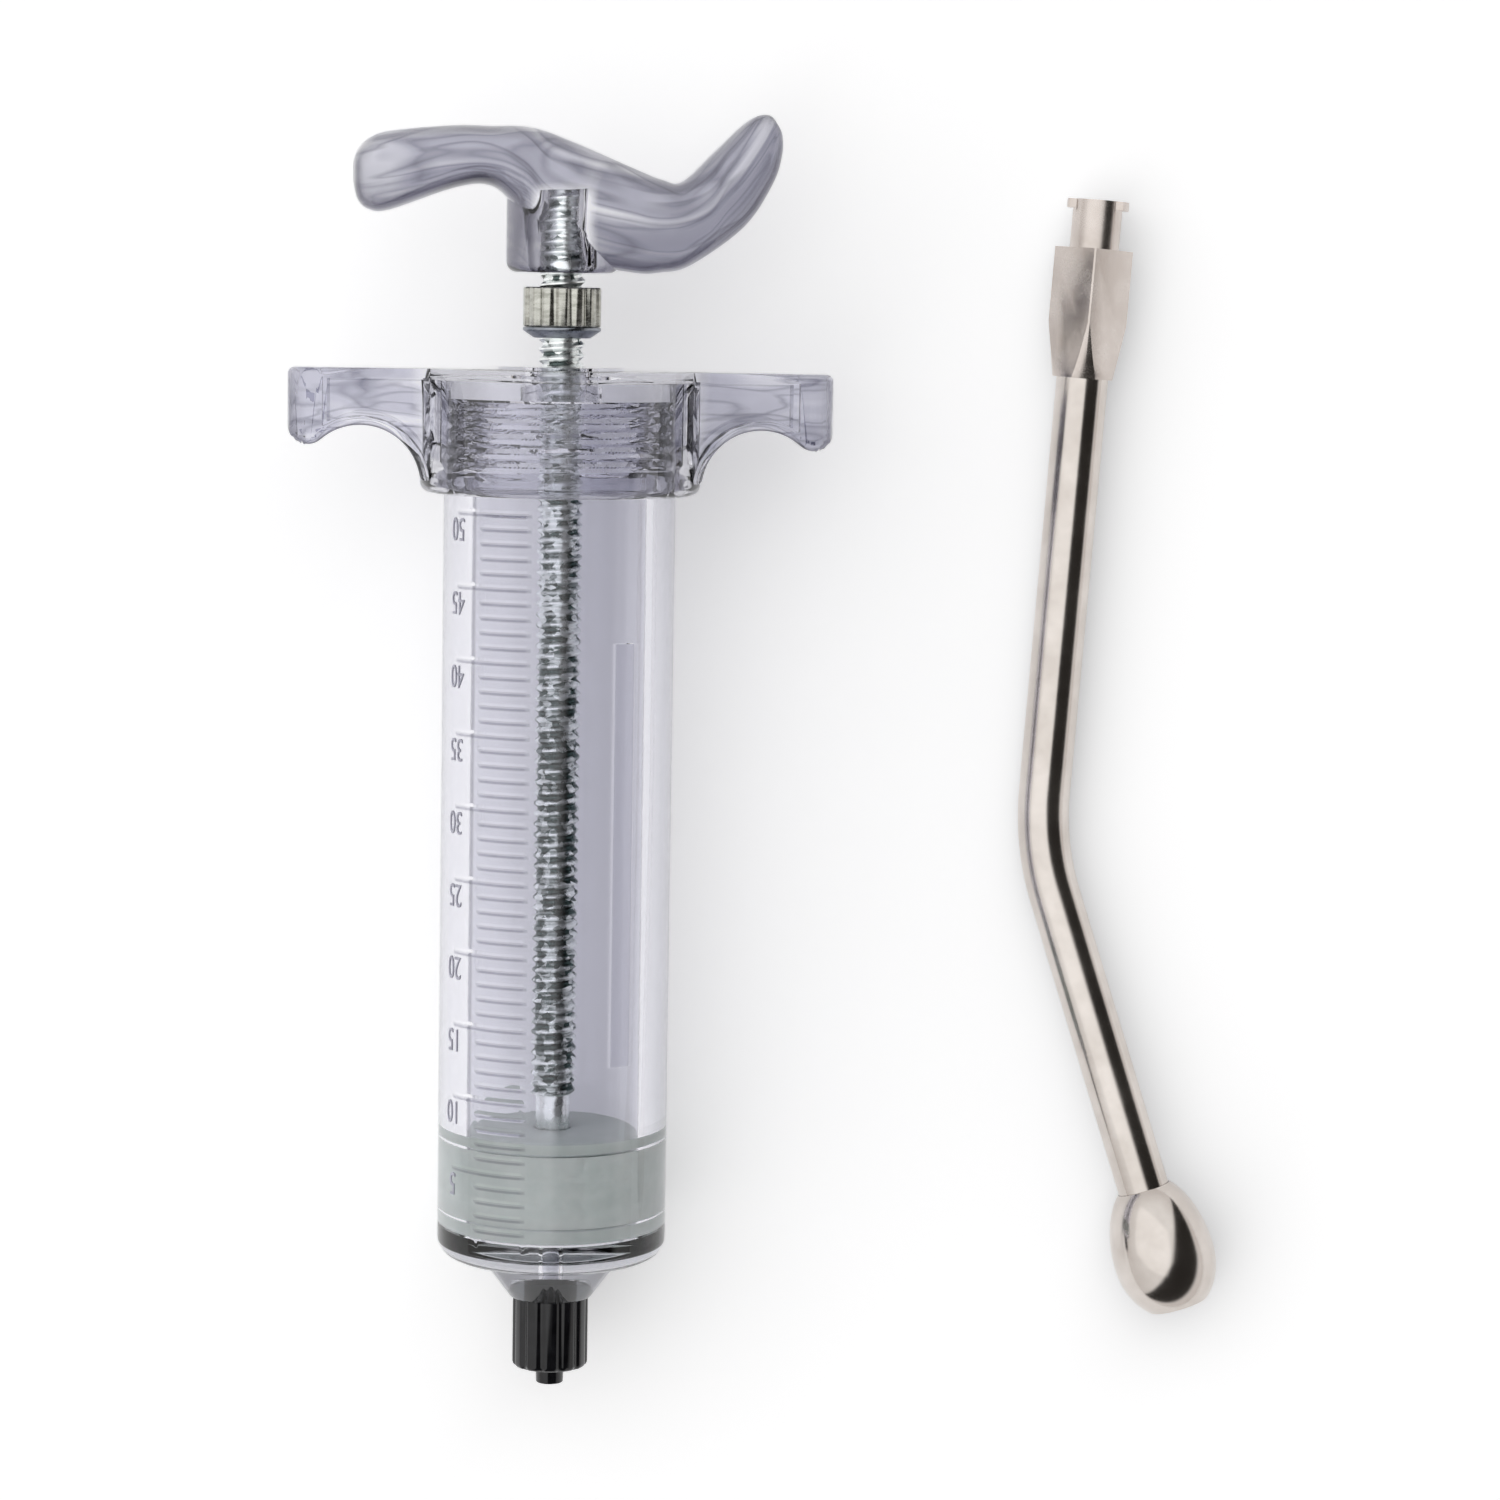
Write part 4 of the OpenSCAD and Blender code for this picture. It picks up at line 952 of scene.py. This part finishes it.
def buildTube():
    s = named(tubeSpec)
    bend = math.radians(cannulaPose["upperLean"] + cannulaPose["lowerLean"])
    tangent = s.bendR * math.tan(bend / 2)
    lowerWay = Vector((math.sin(bend), -math.cos(bend), 0))
    walls = []
    for radius in (s.outR, s.boreR):
        bm = bmesh.new()
        # a ring at the bend's upper end, swept round the bend and then drawn out into both legs
        ring = bmesh.ops.create_circle(bm, cap_ends=False, segments=s.sides, radius=radius)["verts"]
        turnMesh(bm, 90, "X")
        moveMesh(bm, 0, tangent, 0)
        edges = list({e for v in ring for e in v.link_edges})
        swept = bmesh.ops.spin(bm, geom=ring + edges, cent=(s.bendR, tangent, 0), axis=(0, 0, 1), angle=bend,
                               steps=s.bendSteps, use_merge=False)
        lowEdges = ofKind(swept["geom_last"], bmesh.types.BMEdge)
        for chosen, way, length in ((edges, Vector((0, 1, 0)), s.upperEnd - tangent),
                                    (lowEdges, lowerWay, s.lowerEnd - tangent)):
            drawn = bmesh.ops.extrude_edge_only(bm, edges=chosen)
            moved = ofKind(drawn["geom"], bmesh.types.BMVert)
            bmesh.ops.translate(bm, verts=moved, vec=way * length)
        bmesh.ops.recalc_face_normals(bm, faces=bm.faces)
        walls.append(bm)
    tube = joinMeshes(*walls)
    ends = [e for e in tube.edges if e.is_boundary]
    for top in (True, False):
        bmesh.ops.bridge_loops(tube, edges=[e for e in ends if (e.verts[0].co.y > 0) == top])
    bmesh.ops.recalc_face_normals(tube, faces=tube.faces)
    nickel = metal("polishedTubeNickel", laidCannula, **tubeLook)
    finishPiece("cannulaTube", tube, alongUpper, "cannula", "cannula_tube", nickel)


def buildHub():
    s = named(hubSpec)
    top = s.low + s.squareLength
    mouth = top + s.neckLength
    bar = bmesh.new()
    bmesh.ops.create_cube(bar, size=1)
    bmesh.ops.scale(bar, vec=(s.square, s.square, s.squareLength), verts=bar.verts)
    turnMesh(bar, 45 + s.turn, "Z")
    moveMesh(bar, 0, 0, s.low + s.squareLength / 2)
    below = s.taperR - (s.cornerR - s.taperR) / s.taper
    turnedBar = spinProfile([(0, s.low - 1), (below, s.low - 1), (s.cornerR, s.low + s.taper),
                             (s.cornerR, top + 1), (0, top + 1)], 96, False)
    neck = spinProfile([(0, top - 4), (s.neckR, top - 4), (s.neckR, mouth), (0, mouth)], 72, False)
    lugLow, lugTop = mouth - s.lugHeight, mouth - 0.02
    lugRound = spinProfile([(0, lugLow), (s.lugR, lugLow), (s.lugR, lugTop), (0, lugTop)], 72, False)
    lugBar = prism([(-9, mouth - 2), (9, mouth - 2), (9, mouth + 1), (-9, mouth + 1)],
                   -s.lugWidth / 2, s.lugWidth / 2)
    socketTop, luerLow = s.low + s.socketDepth, mouth - s.luerDepth
    socket = spinProfile([(0, s.low - 2), (s.tubeR, s.low - 2), (s.tubeR, socketTop), (s.passageR, socketTop),
                          (s.passageR, luerLow), (s.mouthR - s.luerSlope * s.luerDepth, luerLow),
                          (s.mouthR, mouth), (s.mouthR, mouth + 2), (0, mouth + 2)], 48, False)
    hub = combine(combine(bar, "INTERSECT", turnedBar), "UNION", neck)
    hub = combine(hub, "UNION", combine(lugRound, "INTERSECT", lugBar))
    hub = combine(hub, "DIFFERENCE", socket)
    softenEdges(hub, s.soften, 2, 25)
    nickel = metal("satinHubNickel", laidCannula, **hubLook)
    finishPiece("cannulaHub", hub, upperLeg, "cannula", "cannula_hub", nickel, 30)


def buildOlive():
    s = named(oliveSpec)
    low, high = s.widest - s.neckLength, s.widest + s.endLength
    outline = []
    for limitR, length, sign in ((s.neckR, s.neckLength, -1), (s.endR, s.endLength, 1)):
        limit = math.acos(limitR / s.outR)
        half = [(s.outR * math.cos(limit * i / s.steps),
                 s.widest + sign * length * math.sin(limit * i / s.steps) / math.sin(limit))
                for i in range(s.steps + 1)]
        outline += list(reversed(half)) if sign < 0 else half[1:]
    bm = spinProfile([(s.tubeR, low), *outline, (s.outletR, high), (s.outletR, low + s.socketDepth),
                      (s.tubeR, low + s.socketDepth)])
    softenEdges(bm, s.endSoften, 4, chosen=lambda co: co.z > high - 0.1)
    nickel = metal("polishedOliveNickel", laidCannula, **oliveLook)
    finishPiece("cannulaOlive", bm, lowerLeg, "cannula", "cannula_olive", nickel, 40)


# two hidden rings keep their CAD shape

sealLook = {
    "dark": (0.03, 0.03, 0.03), "light": (0.06, 0.06, 0.06), "broad": 0.5, "fine": 5, "rough": (0.5, 0.7),
    "bump": 0.2}
clipLook = {
    "dark": (0.22, 0.22, 0.23), "light": (0.38, 0.38, 0.40), "broad": 0.5, "fine": 5, "rough": (0.25, 0.45),
    "bump": 0.2}


def dressHiddenRings():
    rubber = solidPlastic("sealRubber", **sealLook)
    steel = metal("springClipSteel", laid, **clipLook)
    for nodeName, material in (("nozzle_seal", rubber), ("rod_clip", steel)):
        frame["nodes"][nodeName].data.materials.clear()
        frame["nodes"][nodeName].data.materials.append(material)


buildBarrel()
buildNumbers()
buildGrip()
buildHandle()
buildRod()
buildNut()
buildWasher()
buildPiston()
buildNozzle()
buildTube()
buildHub()
buildOlive()
dressHiddenRings()
print("pieces built")


# floor, light and camera

floorSpec = {
    "size": 6.0, "height": -0.0002, "tone": (0.95, 0.95, 0.955), "lighter": 1.015, "grain": 60.0,
    "glow": 0.36, "rough": 0.9, "specular": 0.1}
worldSpec = {
    "overhead": (1.05, 1.05, 1.05), "horizon": (0.82, 0.80, 0.79), "riseFrom": (0.05, 0.75),
    "dark": (0.03, 0.028, 0.026), "darkWay": -35, "darkFrom": (9, 15), "darkTo": (66, 74)}
softboxSpec = {"place": (-0.35, 0.1, 0.9), "target": (0, 0, 0), "size": (1.2, 1.4), "power": 1}
cameraSpec = {
    "place": (-0.00038, 0.04666, 0.62492), "pitch": 4.274, "yaw": -0.142, "roll": 0.971, "lens": 102.0,
    "sensor": 36.0, "clip": (0.01, 20)}


def buildFloor():
    s = named(floorSpec)
    bm = bmesh.new()
    bmesh.ops.create_grid(bm, x_segments=2, y_segments=2, size=s.size / 2)
    floor = addObject("paleFloor", takeMesh("paleFloor", bm))
    floor.location.z = s.height
    material = bpy.data.materials.new("palePaper")
    material.use_nodes = True
    tree = material.node_tree
    lighter = tuple(min(1, c * s.lighter) for c in s.tone)
    paper = noise(tree, addNode(tree, "ShaderNodeTexCoord").outputs["Object"], s.grain, 3.0)
    setInputs(tree, tree.nodes["Principled BSDF"], {
        "Base Color": mixColour(tree, paper, s.tone, lighter), "Roughness": s.rough,
        "Specular IOR Level": s.specular, "Emission Color": (1, 1, 1), "Emission Strength": s.glow})
    floor.data.materials.append(material)


def buildWorld():
    # soft light from overhead, greyer towards the horizon, with the dark of the room in front on the right
    s = named(worldSpec)
    world = bpy.data.worlds.new("softStudio")
    scene.world = world
    world.use_nodes = True
    tree = world.node_tree
    direction = addNode(tree, "ShaderNodeTexCoord").outputs["Generated"]
    height = splitVector(tree, direction)[2]
    sky = mixColour(tree, ramp(tree, height, *s.riseFrom, kind="SMOOTHSTEP"), s.horizon, s.overhead)
    way = math.radians(s.darkWay)
    lean = calc(tree, "ARCTAN2", dot(tree, direction, Vector((math.cos(way), math.sin(way), 0))), height)
    band = times(tree, ramp(tree, lean, *radiansOf(s.darkFrom)), fade(tree, lean, *radiansOf(s.darkTo)))
    setInputs(tree, tree.nodes["Background"], {"Color": mixColour(tree, band, sky, s.dark), "Strength": 1.0})


def addSoftbox():
    s = named(softboxSpec)
    data = bpy.data.lights.new("overheadSoftbox", "AREA")
    data.shape = "RECTANGLE"
    data.size, data.size_y = s.size
    data.energy = s.power
    light = addObject("overheadSoftbox", data)
    light.location = s.place
    light.rotation_mode = "QUATERNION"
    light.rotation_quaternion = (Vector(s.target) - Vector(s.place)).to_track_quat("-Z", "Y")


def buildCamera():
    s = named(cameraSpec)
    pitch, yaw, roll = radiansOf((s.pitch, s.yaw, s.roll))
    level = math.cos(pitch)
    ahead = Vector((math.sin(yaw) * level, -math.sin(pitch), -math.cos(yaw) * level)).normalized()
    right = ahead.cross(Vector((0, 1, 0))).normalized()
    up = right.cross(ahead)
    right, up = (math.cos(roll) * right + math.sin(roll) * up, math.cos(roll) * up - math.sin(roll) * right)
    data = bpy.data.cameras.new("photoCamera")
    data.lens = s.lens
    data.sensor_width = s.sensor
    data.sensor_fit = "HORIZONTAL"
    data.clip_start, data.clip_end = s.clip
    camera = addObject("photoCamera", data)
    camera.matrix_world = fromAxes((right, up, -ahead), s.place)
    scene.camera = camera


buildFloor()
buildWorld()
addSoftbox()
buildCamera()
scene.view_settings.view_transform = "Standard"
scene.cycles.max_bounces = 24
scene.cycles.transmission_bounces = 20
scene.cycles.transparent_max_bounces = 24
scene.cycles.caustics_refractive = True
scene.cycles.caustics_reflective = False
print("floor, light and camera set")
